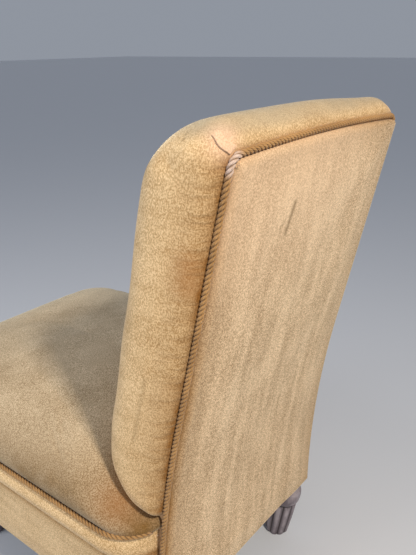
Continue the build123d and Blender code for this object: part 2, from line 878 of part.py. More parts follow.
# Back cord: up one side of the outside back, across its crowned top and down the other side
def cord_point(side, rise):
    """Centre of the back's cord on one side, at a rise above the frame's foot."""
    return side_plane(side * cord_half_foot, side).from_local_coords((rear_y(rise), rise, 0))


cord_low = -border_hem
cord_middle = (cord_low + back_bend_rise) / 2
crown_top = cord_top_rise + cord_top_crown
crown_point = Vector(0, rear_y(crown_top), leg_height + crown_top)
crown_radius = 0.45 * cord_half_top**2 / cord_top_crown
with BuildPart() as back_cord:
    with BuildLine() as back_cord_line:
        ThreePointArc(*(cord_point(1, rise) for rise in (cord_low, cord_middle, back_bend_rise)))
        FilletPolyline(
            cord_point(1, back_bend_rise),
            cord_point(1, cord_top_rise),
            crown_point,
            cord_point(-1, cord_top_rise),
            cord_point(-1, back_bend_rise),
            radius=[cord_corner_radius, crown_radius, cord_corner_radius],
        )
        ThreePointArc(*(cord_point(-1, rise) for rise in (back_bend_rise, cord_middle, cord_low)))
    back_cord_path = back_cord_line.wire()
    with BuildSketch(Plane(back_cord_path @ 0, z_dir=back_cord_path % 0)):
        RegularPolygon(cord_radius, cord_sides)
    sweep(path=back_cord_path)
save(back_cord.part, "back_cord")

# Dust cover under the webbing, notched round the legs, and its tacks
dust_half = frame_half - tack_margin / 3
dust_front = frame_front + tack_margin / 3
dust_rear = rear_rail_y - tack_margin / 3
notch_length = 2 * leg_notch + collar_radius
with BuildPart() as dust_cover:
    with BuildSketch(Plane.XY.offset(dust_low)):
        with Locations((0, (dust_front + dust_rear) / 2)):
            Rectangle(2 * dust_half, dust_rear - dust_front)
        for leg_x, leg_y, lean in leg_places.values():
            side = 1 if leg_x > 0 else -1
            end = 1 if leg_y > 0 else -1
            shift = notch_length / 2 - leg_notch
            with Locations((leg_x + side * shift, leg_y + end * shift)):
                Rectangle(notch_length, notch_length, mode=Mode.SUBTRACT)
    extrude(amount=dust_cover_thickness)
    tack_holes()
save(dust_cover.part, "dust_cover")

with BuildPart() as dust_cover_tacks:
    with BuildSketch(Plane.XY.offset(dust_low)):
        with Locations(*tack_places):
            RegularPolygon(tack_head_radius, hidden_sides)
    extrude(amount=-tack_head_height)
    with BuildSketch(Plane.XY.offset(dust_low)):
        with Locations(*tack_places):
            Rectangle(tack_shank, tack_shank)
    extrude(amount=tack_length)
save(dust_cover_tacks.part, "dust_cover_tacks")
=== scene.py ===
"""An armless cocktail chair: velour upholstery, twisted trim cord and reeded legs on the CAD frame."""
import logging
import math
from collections.abc import Iterator, Sequence
from contextlib import contextmanager
from dataclasses import dataclass
from enum import Enum

import bmesh
import bpy
import numpy as np
from mathutils import Matrix, Vector


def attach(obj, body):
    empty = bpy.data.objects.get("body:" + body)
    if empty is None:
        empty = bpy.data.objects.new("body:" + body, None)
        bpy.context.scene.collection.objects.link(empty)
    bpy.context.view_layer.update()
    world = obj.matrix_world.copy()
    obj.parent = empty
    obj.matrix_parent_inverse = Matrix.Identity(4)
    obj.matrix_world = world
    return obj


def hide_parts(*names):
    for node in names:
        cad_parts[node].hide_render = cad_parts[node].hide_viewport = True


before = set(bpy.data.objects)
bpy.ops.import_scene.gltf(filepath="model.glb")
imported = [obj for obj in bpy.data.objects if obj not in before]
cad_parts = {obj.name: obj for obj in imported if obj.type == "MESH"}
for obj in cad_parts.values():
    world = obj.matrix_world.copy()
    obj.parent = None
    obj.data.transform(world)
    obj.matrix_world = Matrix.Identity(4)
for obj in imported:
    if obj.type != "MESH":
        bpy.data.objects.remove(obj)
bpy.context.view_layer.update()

LOG = logging.getLogger("cocktail_chair")
Array = np.ndarray
Thing = bpy.types.Object
Material = bpy.types.Material
Triple = tuple[float, float, float]
Colour = Triple
Stretch = tuple[Triple, Triple]
Span = tuple[float, float]
MM = 0.001
FULL_TURN = 2 * math.pi
WELD = 2e-5
SEAM_POINTS = 260
CORD_POINTS = 1500
WORN_LEFT_RIGHT = (0.75, 0.25)


def srgb(red: int, green: int, blue: int) -> Colour:
    """Linear colour of a screen colour of 0 to 255.

    Args:
        red: Red part.
        green: Green part.
        blue: Blue part.

    Returns:
        The three linear parts.
    """
    parts = np.array([red, green, blue]) / 255
    linear = np.where(parts <= 0.04045, parts / 12.92, ((parts + 0.055) / 1.055) ** 2.4)
    return tuple(float(part) for part in linear)


# Shapes


@dataclass
class Patch:
    """A grid of points, with a UV for each."""

    points: Array
    uv: Array

    def faces(self) -> Array:
        """Corner numbers of the grid's quads."""
        rows, columns = self.points.shape[:2]
        index = np.arange(rows * columns).reshape(rows, columns)
        quads = (index[:-1, :-1], index[1:, :-1], index[1:, 1:], index[:-1, 1:])
        return np.stack(quads, -1).reshape(-1, 4)


@contextmanager
def editing(mesh: bpy.types.Mesh) -> Iterator[bmesh.types.BMesh]:
    """Open a mesh for edits, and put the result back into it."""
    shape = bmesh.new()
    shape.from_mesh(mesh)
    shape.verts.ensure_lookup_table()
    yield shape
    shape.to_mesh(mesh)
    shape.free()


def make_piece(name: str, patches: Sequence[Patch], weld: float = WELD) -> Thing:
    """Put patches into one smooth mesh, with their meeting edges welded and faces outward.

    Args:
        name: Name of the piece.
        patches: Grids that make it up.
        weld: Distance within which points become one.

    Returns:
        The new object, at the origin.
    """
    starts = np.cumsum([0] + [patch.points[..., 0].size for patch in patches[:-1]])
    points = np.concatenate([patch.points.reshape(-1, 3) for patch in patches])
    uv = np.concatenate([patch.uv.reshape(-1, 2) for patch in patches])
    faces = np.concatenate([patch.faces() + start for patch, start in zip(patches, starts)])
    mesh = bpy.data.meshes.new(name)
    mesh.vertices.add(len(points))
    mesh.vertices.foreach_set("co", points.astype(np.float32).ravel())
    mesh.loops.add(faces.size)
    mesh.loops.foreach_set("vertex_index", faces.astype(np.int32).ravel())
    mesh.polygons.add(len(faces))
    mesh.polygons.foreach_set("loop_start", np.arange(0, faces.size, 4, dtype=np.int32))
    layer = mesh.uv_layers.new(name="cloth")
    layer.data.foreach_set("uv", uv[faces.ravel()].astype(np.float32).ravel())
    mesh.update(calc_edges=True)
    with editing(mesh) as shape:
        bmesh.ops.remove_doubles(shape, verts=shape.verts, dist=weld)
        bmesh.ops.dissolve_degenerate(shape, edges=shape.edges, dist=weld / 4)
        bmesh.ops.recalc_face_normals(shape, faces=shape.faces)
    mesh.polygons.foreach_set("use_smooth", np.ones(len(mesh.polygons), dtype=bool))
    piece = bpy.data.objects.new(name, mesh)
    bpy.context.scene.collection.objects.link(piece)
    return piece


def vertices_of(piece: Thing) -> Array:
    """Places of a piece's vertices, as rows of x, y and z."""
    return rows_of(piece.data, "co").astype(float)


def rows_of(mesh: bpy.types.Mesh, name: str) -> Array:
    """A property of three values of a mesh's vertices, as rows."""
    flat = np.empty(len(mesh.vertices) * 3, np.float32)
    mesh.vertices.foreach_get(name, flat)
    return flat.reshape(-1, 3)


def soften(piece: Thing, free: Array, times: int) -> None:
    """Move the free points halfway to the mean of their neighbours, some times over.

    Args:
        piece: Piece to soften.
        free: Whether each vertex may move.
        times: How often it is done.
    """
    axes = {"use_axis_x": True, "use_axis_y": True, "use_axis_z": True}
    with editing(piece.data) as shape:
        chosen = [shape.verts[number] for number in np.flatnonzero(free)]
        for _ in range(times):
            bmesh.ops.smooth_vert(shape, verts=chosen, factor=0.5, **axes)


def paint(piece: Thing, name: str, values: Array) -> None:
    """Store one value for each vertex, under a name that a finish reads."""
    layer = piece.data.attributes.new(name, "FLOAT", "POINT")
    layer.data.foreach_set("value", values.astype(np.float32))


def smooth_rows(rows: Sequence[Sequence[float]], count: int) -> Array:
    """Carry rows of values on a Catmull-Rom curve, evenly in its parameter.

    Args:
        rows: Control rows.
        count: Number of rows wanted.

    Returns:
        The finer rows.
    """
    known = np.asarray(rows, float)
    padded = np.vstack([2 * known[0] - known[1], known, 2 * known[-1] - known[-2]])
    place = np.linspace(0, len(known) - 1, count)
    base = np.minimum(place.astype(int), len(known) - 2)
    t = (place - base)[:, None]
    a, b, c, d = (padded[base + step] for step in range(4))
    bend = (2 * a - 5 * b + 4 * c - d) * t**2 + (3 * b - a - 3 * c + d) * t**3
    return 0.5 * (2 * b + (c - a) * t + bend)


def grid_of(*parts: Array | float) -> Array:
    """Parts spread over one another's shape and put side by side on a last axis."""
    return np.stack(np.broadcast_arrays(*parts), -1)


def raised(rings: Array, levels: Array) -> Array:
    """Rings of x and y, each put at its own level."""
    return np.dstack([rings, np.broadcast_to(levels[:, None, None], (*rings.shape[:2], 1))])


def unit(vectors: Array) -> Array:
    """Rows of the same direction and a length of 1."""
    return vectors / np.linalg.norm(vectors, axis=1, keepdims=True)


def run_along(points: Array) -> Array:
    """Length along a line of points, from its first one to each of them."""
    return np.concatenate([[0], np.cumsum(np.linalg.norm(np.diff(points, axis=0), axis=1))])


def even_line(points: Array, count: int) -> Array:
    """Points spread evenly by length along a line of points.

    Args:
        points: Points of the line.
        count: Number of points wanted.

    Returns:
        The new points.
    """
    length = run_along(points)
    wanted = np.linspace(0, length[-1], count)
    return np.stack([np.interp(wanted, length, axis) for axis in points.T], -1)


def rounded(corners: Sequence[Span], radii: Sequence[float], steps: int = 16) -> Array:
    """Open line through corners that are rounded by arcs; both ends stay.

    Args:
        corners: First point, corners and last point.
        radii: Radius at each inner corner.
        steps: Points on each arc.

    Returns:
        The points of the line.
    """
    line = [np.array([corners[0]])]
    share = np.linspace(0, 1, steps)[:, None]
    for before, here, after, radius in zip(corners, corners[1:], corners[2:], radii):
        corner = np.array(here)
        back, on = (np.array(other) - corner for other in (before, after))
        back, on = back / np.linalg.norm(back), on / np.linalg.norm(on)
        half = math.acos(np.clip(back @ on, -1, 1)) / 2
        middle = (back + on) / np.linalg.norm(back + on)
        centre = corner + middle * radius / math.sin(half)
        reach = radius / math.tan(half)
        first, last = corner + back * reach - centre, corner + on * reach - centre
        turn = math.pi - 2 * half
        arc = first * np.sin((1 - share) * turn) + last * np.sin(share * turn)
        line.append(centre + arc / math.sin(turn))
    line.append(np.array([corners[-1]]))
    return np.vstack(line)


def distance(points: Array, spot: Sequence[float]) -> Array:
    """Distance of each point to a spot."""
    return np.linalg.norm(points - spot, axis=1)


def nearest(points: Array, line: Array, batch: int = 4000) -> Array:
    """Distance of each point to the nearest of a line's points, worked out in batches."""
    parts = np.array_split(points, max(1, len(points) // batch))
    return np.concatenate([np.linalg.norm(part[:, None] - line[None], axis=2).min(1) for part in parts])


def to_segment(points: Array, start: Sequence[float], end: Sequence[float]) -> Array:
    """Distance of each point to a straight stretch between two points."""
    begin, run = np.array(start), np.array(end) - np.array(start)
    share = np.clip((points - begin) @ run / (run @ run), 0, 1)
    return np.linalg.norm(points - begin - share[:, None] * run, axis=1)


def bell(off: Array, width: float) -> Array:
    """Bell curve of a distance: 1 at 0, and about a third at the width."""
    return np.exp(-((off / width) ** 2))


def ramp(values: Array, low: float, high: float) -> Array:
    """Smooth step from 0 at low to 1 at high."""
    share = np.clip((values - low) / (high - low), 0, 1)
    return share * share * (3 - 2 * share)


# Shader maths


class Signal:
    """A shader socket that takes part in Python sums, each of which adds a Math node."""

    def __init__(self, graph: "Graph", socket: bpy.types.NodeSocket) -> None:
        """Wrap a socket of a graph."""
        self.graph = graph
        self.socket = socket

    def _sum(self, operation: str, first: "Signal | float", second: "Signal | float") -> "Signal":
        """Result of a Math node on two values."""
        made = self.graph.node("ShaderNodeMath", {"operation": operation}, {0: first, 1: second})
        return Signal(self.graph, made.outputs[0])

    def __add__(self, other: "Signal | float") -> "Signal":
        """This plus other."""
        return self._sum("ADD", self, other)

    def __radd__(self, other: float) -> "Signal":
        """Other plus this."""
        return self._sum("ADD", other, self)

    def __sub__(self, other: "Signal | float") -> "Signal":
        """This minus other."""
        return self._sum("SUBTRACT", self, other)

    def __rsub__(self, other: float) -> "Signal":
        """Other minus this."""
        return self._sum("SUBTRACT", other, self)

    def __mul__(self, other: "Signal | float") -> "Signal":
        """This times other."""
        return self._sum("MULTIPLY", self, other)

    def __rmul__(self, other: float) -> "Signal":
        """Other times this."""
        return self._sum("MULTIPLY", other, self)

    def step(self, low: float, high: float) -> "Signal":
        """Smooth step from 0 at low to 1 at high."""
        settings = {"interpolation_type": "SMOOTHSTEP", "clamp": True}
        inputs = {"Value": self, "From Min": low, "From Max": high}
        made = self.graph.node("ShaderNodeMapRange", settings, inputs)
        return Signal(self.graph, made.outputs["Result"])


class Graph:
    """A material's node tree, with one shader at its end."""

    def __init__(self, name: str) -> None:
        """Start an empty material."""
        self.material = bpy.data.materials.new(name)
        self.material.use_nodes = True
        self.tree = self.material.node_tree
        self.tree.nodes.clear()

    def node(self, kind: str, settings: dict | None = None, inputs: dict | None = None) -> bpy.types.Node:
        """Add a node.

        Args:
            kind: Type of the node.
            settings: Its own settings, set first.
            inputs: Values or links of its sockets, by name or number.

        Returns:
            The node.
        """
        made = self.tree.nodes.new(kind)
        for name, value in (settings or {}).items():
            setattr(made, name, value)
        for key, value in (inputs or {}).items():
            if isinstance(value, Signal):
                self.tree.links.new(value.socket, made.inputs[key])
            else:
                made.inputs[key].default_value = value
        return made

    def place(self) -> Signal:
        """Place on the piece, in its own frame."""
        return Signal(self, self.node("ShaderNodeTexCoord").outputs["Object"])

    def uv(self) -> Signal:
        """The piece's own UV."""
        return Signal(self, self.node("ShaderNodeUVMap", {"uv_map": "cloth"}).outputs["UV"])

    def painted(self, name: str) -> Signal:
        """Value that was painted on the vertices under a name."""
        return Signal(self, self.node("ShaderNodeAttribute", {"attribute_name": name}).outputs["Fac"])

    def stretch(self, vector: Signal, scale: Sequence[float]) -> Signal:
        """A place with each axis multiplied."""
        made = self.node("ShaderNodeVectorMath", {"operation": "MULTIPLY"}, {0: vector, 1: tuple(scale)})
        return Signal(self, made.outputs[0])

    def noise(self, vector: Signal, scale: float, detail: float = 2, roughness: float = 0.5) -> Signal:
        """Cloudy noise between 0 and 1."""
        inputs = {"Vector": vector, "Scale": scale, "Detail": detail, "Roughness": roughness}
        return Signal(self, self.node("ShaderNodeTexNoise", None, inputs).outputs[0])

    def wave(self, vector: Signal, scale: float, direction: str, distortion: float = 0) -> Signal:
        """Parallel waves between 0 and 1, across an axis."""
        settings = {"wave_type": "BANDS", "bands_direction": direction}
        inputs = {"Vector": vector, "Scale": scale, "Distortion": distortion, "Detail": 1.0}
        return Signal(self, self.node("ShaderNodeTexWave", settings, inputs).outputs["Fac"])

    def mix(self, factor: Signal, first: Signal | Colour, second: Signal | Colour) -> Signal:
        """Colour between two colours."""
        ends = [end if isinstance(end, Signal) else (*end, 1.0) for end in (first, second)]
        settings = {"data_type": "RGBA", "clamp_factor": True}
        made = self.node("ShaderNodeMix", settings, {0: factor, 6: ends[0], 7: ends[1]})
        return Signal(self, made.outputs[2])

    def finish(
        self, height: Signal | None, depth: float, **sockets: Signal | float | Colour
    ) -> Material:
        """End the graph with its shader.

        Args:
            height: Relief for the bump, from 0 to 1, or nothing.
            depth: How deep the relief is, in metres.
            sockets: The shader's sockets, with underscores for spaces.

        Returns:
            The material.
        """
        inputs = {}
        for name, value in sockets.items():
            inputs[name.replace("_", " ")] = (*value, 1.0) if isinstance(value, tuple) else value
        if height is not None:
            relief = {"Height": height, "Distance": depth, "Strength": 1.0}
            bump = self.node("ShaderNodeBump", None, relief)
            inputs["Normal"] = Signal(self, bump.outputs["Normal"])
        shader = self.node("ShaderNodeBsdfPrincipled", None, inputs)
        out = self.node("ShaderNodeOutputMaterial")
        self.tree.links.new(shader.outputs["BSDF"], out.inputs["Surface"])
        return self.material


# Finishes


class Nap(Enum):
    """The way in which the pile of a cover has been brushed, as a stretch of the streaks."""

    UP = (46.0, 46.0, 5.0)
    ALONG = (40.0, 7.0, 60.0)
    CLOUDED = (15.0, 15.0, 15.0)


@dataclass(frozen=True)
class Velour:
    """Short-piled cover: clouded by handling, streaked along its nap, with painted shade in the creases.
    """

    name: str
    light: Colour
    dark: Colour
    crease_shade: Colour
    worn: Colour
    nap: Nap
    streak: float = 0.5
    cloudy: float = 0.36
    sheen: float = 0.5
    pile: Triple = (1250.0, 1250.0, 980.0)
    fleck: Triple = (680.0, 680.0, 540.0)
    tuck: Triple = (26.0, 26.0, 150.0)
    bump: float = 0.7 * MM
    # Colour of painted shade that darkens a top face.
    top_shade: Colour = srgb(150, 140, 120)
    stain: Colour = srgb(158, 98, 40)
    mark: Colour = srgb(112, 84, 46)
    glow: Colour = srgb(255, 250, 226)

    def material(self) -> Material:
        """Cloud and streak noise set the tone; pile and fleck noise speckle it and raise the bump."""
        graph = Graph(self.name)
        place = graph.place()
        cloud = graph.noise(place, 10.0, 4.0, 0.62)
        streak = graph.noise(graph.stretch(place, self.nap.value), 1.0, 3.0, 0.6)
        pile = graph.noise(graph.stretch(place, self.pile), 1.0, 2.0, 0.7)
        fleck = graph.noise(graph.stretch(place, self.fleck), 1.0, 2.0, 0.6)
        tuck = graph.noise(graph.stretch(place, self.tuck), 1.0, 2.0, 0.5).step(0.4, 0.7)
        tone = cloud.step(0.34, 0.68) * (1 - self.streak) + streak.step(0.34, 0.68) * self.streak
        tone = tone * self.cloudy + pile.step(0.4, 0.6) * 0.3 + fleck.step(0.41, 0.6) * 0.56 - 0.1
        colour = graph.mix(tone, self.dark, self.light)
        # Range of brown for painted shade.
        deep, pale = (tuple(share * part for part in self.crease_shade) for share in (0.6, 1.3))
        shade_brown = graph.mix(tone, deep, pale)
        patchy = 0.4 + 0.45 * streak.step(0.3, 0.7) + 0.35 * cloud.step(0.38, 0.62)
        # Painted shade in the creases, patchy over the cover.
        colour = graph.mix(graph.painted("crease_shade") * patchy, colour, shade_brown)
        # Painted shade in the folds of the gathers by the cord; their relief is the bump below.
        colour = graph.mix(graph.painted("gather") * tuck * 0.5, colour, shade_brown)
        # Painted shade over a top face, clouded by noise.
        colour = graph.mix(graph.painted("top_shade") * (0.5 + cloud), colour, self.top_shade)
        colour = graph.mix(graph.painted("stain") * (0.5 + cloud), colour, self.stain)
        # Wear on rubbed corners, folds and crests; on the back panel also a painted highlight.
        colour = graph.mix(graph.painted("worn") * (0.35 + pile), colour, self.worn)
        # Dark specks, and painted shade along fold lines.
        colour = graph.mix(graph.painted("mark"), colour, self.mark)
        height = pile * 0.5 + fleck * 0.25 + cloud * 0.5 - graph.painted("gather") * tuck * 0.8
        return graph.finish(
            height,
            self.bump,
            Base_Color=colour,
            Roughness=0.8 + 0.18 * pile,
            Sheen_Weight=self.sheen,
            Sheen_Roughness=0.32,
            Sheen_Tint=self.glow,
            Specular_IOR_Level=0.1,
        )


@dataclass(frozen=True)
class TwistedYarn:
    """Brown-gold yarn of the trim cord, with fine plies along each strand."""

    name: str = "twisted_yarn"
    light: Colour = srgb(198, 152, 96)
    dark: Colour = srgb(108, 75, 40)
    bare: Colour = srgb(242, 226, 222)
    ply: Triple = (260.0, 4.0, 1.0)
    bump: float = 0.5 * MM

    def material(self) -> Material:
        """Plies are waves round the strand; wear pales the yarn where it was painted."""
        graph = Graph(self.name)
        place = graph.place()
        ply = graph.wave(graph.stretch(graph.uv(), self.ply), 1.0, "DIAGONAL", 1.5)
        fuzz = graph.noise(place, 1500.0, 2.0, 0.6)
        tone = graph.noise(place, 35.0, 2.0, 0.5)
        mixed = ply * 0.3 + fuzz * 0.25 + tone.step(0.3, 0.7) * 0.25 + 0.28
        # Painted shade darkens the hollows between the strands.
        colour = graph.mix(mixed - graph.painted("hollow_shade") * 0.65, self.dark, self.light)
        crest = 1 - graph.painted("hollow_shade") * 1.1
        colour = graph.mix(graph.painted("worn") * crest * (0.55 + fuzz), colour, self.bare)
        return graph.finish(
            ply * 0.6 + fuzz * 0.4,
            self.bump,
            Base_Color=colour,
            Roughness=0.62 + 0.25 * fuzz,
            Sheen_Weight=0.2,
            Sheen_Roughness=0.4,
            Specular_IOR_Level=0.25,
        )


@dataclass(frozen=True)
class Timber:
    """Wood with its grain along an axis, with painted shade in its grooves and painted highlight, with
    wear, on its crests.
    """

    name: str
    light: Colour
    dark: Colour
    groove: Colour
    # Pale colour of the crests, for wear and painted highlight.
    rubbed: Colour = srgb(200, 188, 190)
    grain: Triple = (90.0, 90.0, 5.0)
    roughness: float = 0.5
    bump: float = 0.4 * MM

    def material(self) -> Material:
        """Stretched noise gives grain and pores; handling clouds it."""
        graph = Graph(self.name)
        place = graph.place()
        line = graph.noise(graph.stretch(place, self.grain), 1.0, 4.0, 0.65)
        fine = tuple(9 * part for part in self.grain)
        pore = graph.noise(graph.stretch(place, fine), 1.0, 2.0, 0.5)
        cloud = graph.noise(place, 22.0, 3.0, 0.6)
        tone = line.step(0.28, 0.72) * 0.6 + cloud.step(0.3, 0.7) * 0.4
        colour = graph.mix(tone, self.dark, self.light)
        colour = graph.mix(pore.step(0.56, 0.72) * 0.5, colour, self.groove)
        # Lighter crests: wear and a painted highlight.
        colour = graph.mix(graph.painted("worn") * cloud.step(0.35, 0.7) * 0.5, colour, self.rubbed)
        # Painted shade in the grooves.
        colour = graph.mix(graph.painted("hollow_shade") * (0.6 + 0.6 * cloud), colour, self.groove)
        return graph.finish(
            line * 0.5 + pore * 0.5,
            self.bump,
            Base_Color=colour,
            Roughness=self.roughness + 0.25 * line,
            Specular_IOR_Level=0.4,
        )


@dataclass(frozen=True)
class PlainWeave:
    """Coarse or fine woven cloth with threads both ways; waves of scale 1 are one period apart."""

    name: str
    light: Colour
    dark: Colour
    pitch: float
    period: float = 0.314

    def material(self) -> Material:
        """Two sets of waves a thread's pitch apart, broken by noise."""
        graph = Graph(self.name)
        place = graph.place()
        scale = self.period / self.pitch
        warp = graph.wave(place, scale, "X", 0.6)
        weft = graph.wave(place, scale, "Y", 0.6)
        slub = graph.noise(place, 0.35 / self.pitch, 3.0, 0.6)
        lift = warp * 0.35 + weft * 0.35 + slub * 0.3
        return graph.finish(
            lift,
            self.pitch / 3,
            Base_Color=graph.mix(lift.step(0.2, 0.8), self.dark, self.light),
            Roughness=0.85 + 0.1 * slub,
            Specular_IOR_Level=0.15,
        )


@dataclass(frozen=True)
class Metal:
    """Bare or blued metal, clouded by age."""

    name: str
    light: Colour
    dark: Colour
    roughness: float
    bump: float = 0.1 * MM

    def material(self) -> Material:
        """Noise clouds its colour and its roughness."""
        graph = Graph(self.name)
        cloud = graph.noise(graph.place(), 180.0, 3.0, 0.6)
        return graph.finish(
            cloud,
            self.bump,
            Base_Color=graph.mix(cloud.step(0.3, 0.7), self.dark, self.light),
            Roughness=self.roughness + 0.2 * cloud,
            Metallic=1.0,
        )


BORDER_VELOUR = Velour(
    "border_velour",
    light=srgb(255, 221, 170),
    dark=srgb(178, 138, 87),
    crease_shade=srgb(140, 96, 46),
    worn=srgb(228, 188, 162),
    nap=Nap.ALONG,
)
BACK_VELOUR = Velour(
    "back_velour",
    light=srgb(252, 221, 180),
    dark=srgb(148, 114, 75),
    crease_shade=srgb(152, 110, 60),
    # Also the colour of the painted highlight on the panel's upper part.
    worn=srgb(250, 214, 176),
    nap=Nap.UP,
    streak=0.7,
    cloudy=0.38,
)
SEAT_VELOUR = Velour(
    "seat_velour",
    light=srgb(238, 215, 180),
    dark=srgb(152, 125, 90),
    crease_shade=srgb(116, 82, 32),
    worn=srgb(206, 172, 130),
    nap=Nap.CLOUDED,
)
LEG_WOOD = Timber("leg_wood", srgb(150, 139, 143), srgb(98, 87, 92), srgb(46, 37, 36))
FRAME_BEECH = Timber(
    "frame_beech",
    srgb(214, 178, 136),
    srgb(176, 132, 90),
    srgb(120, 84, 54),
    grain=(70.0, 70.0, 70.0),
    roughness=0.6,
)
JUTE = PlainWeave("jute_webbing", srgb(196, 164, 116), srgb(116, 88, 54), 3 * MM)
HESSIAN = PlainWeave("hessian", srgb(188, 156, 108), srgb(112, 84, 50), 1.8 * MM)
DUST_CLOTH = PlainWeave("dust_cloth", srgb(62, 58, 56), srgb(24, 22, 22), 1.2 * MM)
SPRING_STEEL = Metal("spring_steel", srgb(170, 140, 112), srgb(96, 82, 72), 0.35)
SCREW_STEEL = Metal("screw_steel", srgb(176, 174, 168), srgb(120, 118, 114), 0.3)
TACK_STEEL = Metal("tack_steel", srgb(62, 66, 78), srgb(26, 28, 34), 0.35)


# Shared lines of the chair


@dataclass(frozen=True)
class OutsideBack:
    """Line of the outside back: upright at the foot, then an arc, then a straight rake."""

    floor_gap: float = 130 * MM
    foot_y: float = 229 * MM
    rake: float = math.radians(12.25)
    bend_rise: float = 320 * MM
    cord_rise: float = 615 * MM
    half_foot: float = 188 * MM
    foot_ahead: float = 2.5 * MM
    half_top: float = 174 * MM
    crown: float = 5.4 * MM
    corner: float = 13 * MM
    hem: float = 3 * MM
    cord_sink: float = 0.8 * MM

    def y(self, rise: Array, depth: Array | float = 0.0) -> Array:
        """Y of the line at a rise, moved forward by a depth; the arc is a circle, the run a slope."""
        bend_radius = self.bend_rise / math.sin(self.rake)
        radius = bend_radius + depth
        bend = radius * math.sin(self.rake)
        arc = self.foot_y + bend_radius - np.sqrt(radius**2 - np.minimum(rise, bend) ** 2)
        ahead = self.foot_ahead * np.clip(1 - rise / self.cord_rise, 0, 1)
        return arc + np.maximum(rise - bend, 0) * math.tan(self.rake) - ahead

    def half(self, rise: Array) -> Array:
        """Half-width between the cords at a rise."""
        return self.half_foot - (self.half_foot - self.half_top) / self.cord_rise * rise

    def points(self, x: Array, rise: Array, depth: Array | float) -> Array:
        """Places at x across, rise up and depth forward of the line."""
        return grid_of(x, self.y(rise, depth), self.floor_gap + rise)

    def cord_line(self, count: int) -> Array:
        """Centre of the cord: up one side, round the corner, over the crowned top and down."""
        across = np.linspace(0.9, -0.9, 13)
        top = [(self.half_top * s, self.cord_rise + self.crown * (1 - s * s)) for s in across]
        low = (float(self.half(-self.hem)), -self.hem)
        corner = (self.half_top, self.cord_rise)
        left = rounded([low, corner, top[0]], [self.corner])
        line = np.vstack([left, top, left[::-1] * (-1, 1)])
        flat = even_line(line, count)
        return self.points(flat[:, 0], flat[:, 1], self.cord_sink)


@dataclass(frozen=True)
class SeatPlan:
    """Rounded rectangle of the seat, seen from above."""

    half: float = 228 * MM
    front: float = -324 * MM
    rear: float = 231 * MM
    corner: float = 50 * MM
    cord_z: float = 300 * MM
    rail_z: float = 260 * MM
    cord_out: float = 4.6 * MM
    cord_inset: float = 6 * MM
    cord_stop: float = 10 * MM
    cord_half: float = 194 * MM
    cord_lift: float = 1 * MM

    def pattern(self, straight: int, arc: int, open_behind: bool) -> tuple[Array, Array]:
        """Corner signs and outward directions round the plan, from the rear left corner forward.

        A point of the plan is its corner sign times the half-size less the radius, plus the
        radius times its direction.

        Args:
            straight: Steps on each straight side.
            arc: Steps on each corner.
            open_behind: Whether the rear side is left out.

        Returns:
            Signs and directions, row by row.
        """
        turns = np.radians([90, 0, -90, -180, -270])
        signs = np.array([(1, 1), (1, -1), (-1, -1), (-1, 1), (1, 1)], float)
        share = np.linspace(0, 1, straight)[1:-1, None]
        sign_rows, way_rows = [], []
        for side in range(4):
            angle = np.linspace(turns[side], turns[side + 1], arc)
            way_rows.append(np.stack([np.cos(angle), np.sin(angle)], -1))
            sign_rows.append(np.repeat(signs[side : side + 1], arc, 0))
            if side < 3 or not open_behind:
                sign_rows.append(signs[side] + (signs[side + 1] - signs[side]) * share)
                way_rows.append(np.repeat(way_rows[-1][-1:], straight - 2, 0))
        if not open_behind:
            sign_rows.append(signs[:1])
            way_rows.append(way_rows[0][:1])
        return np.vstack(sign_rows), np.vstack(way_rows)

    def rings(self, pattern: tuple[Array, Array], out: Array, rear_out: Array, radius: Array) -> Array:
        """Plan rings, each moved out by its own amount at front and sides, and at the rear.

        Args:
            pattern: Signs and directions.
            out: Outward move of each ring.
            rear_out: Outward move of each ring at the rear.
            radius: Corner radius of each ring.

        Returns:
            Rings of x and y, shaped (ring, point, 2).
        """
        signs, ways = pattern
        front, rear = self.front - out, self.rear + rear_out
        halves = np.stack([self.half + out, (rear - front) / 2], -1)
        centre = np.stack([np.zeros_like(front), (front + rear) / 2], -1)
        reach = radius[:, None, None]
        return centre[:, None] + signs * (halves[:, None] - reach) + ways * reach

    def cord_line(self, count: int) -> Array:
        """Centre of the seat's cord, round the front from one end of the back's cord to the other.

        Args:
            count: Number of points.

        Returns:
            The points.
        """
        out = np.array([self.cord_out])
        pattern = self.pattern(60, 30, True)
        ring = self.rings(pattern, out, out - self.cord_inset, self.corner + out)[0]
        beside = np.abs(ring[:, 0]) > self.cord_half
        kept = ring[(ring[:, 1] < self.rear - self.cord_stop) | beside]
        flat = even_line(kept, count)
        return np.column_stack([flat, np.full(count, self.cord_z + self.cord_lift)])


# Pieces


CLOTH: dict[str, float | bool | str] = {
    "quality": 4,
    "mass": 0.3,
    "tension_stiffness": 18,
    "compression_stiffness": 18,
    "bending_stiffness": 1.5,
    "use_pressure": True,
    "uniform_pressure_force": 3.0,
    "vertex_group_mass": "held",
}


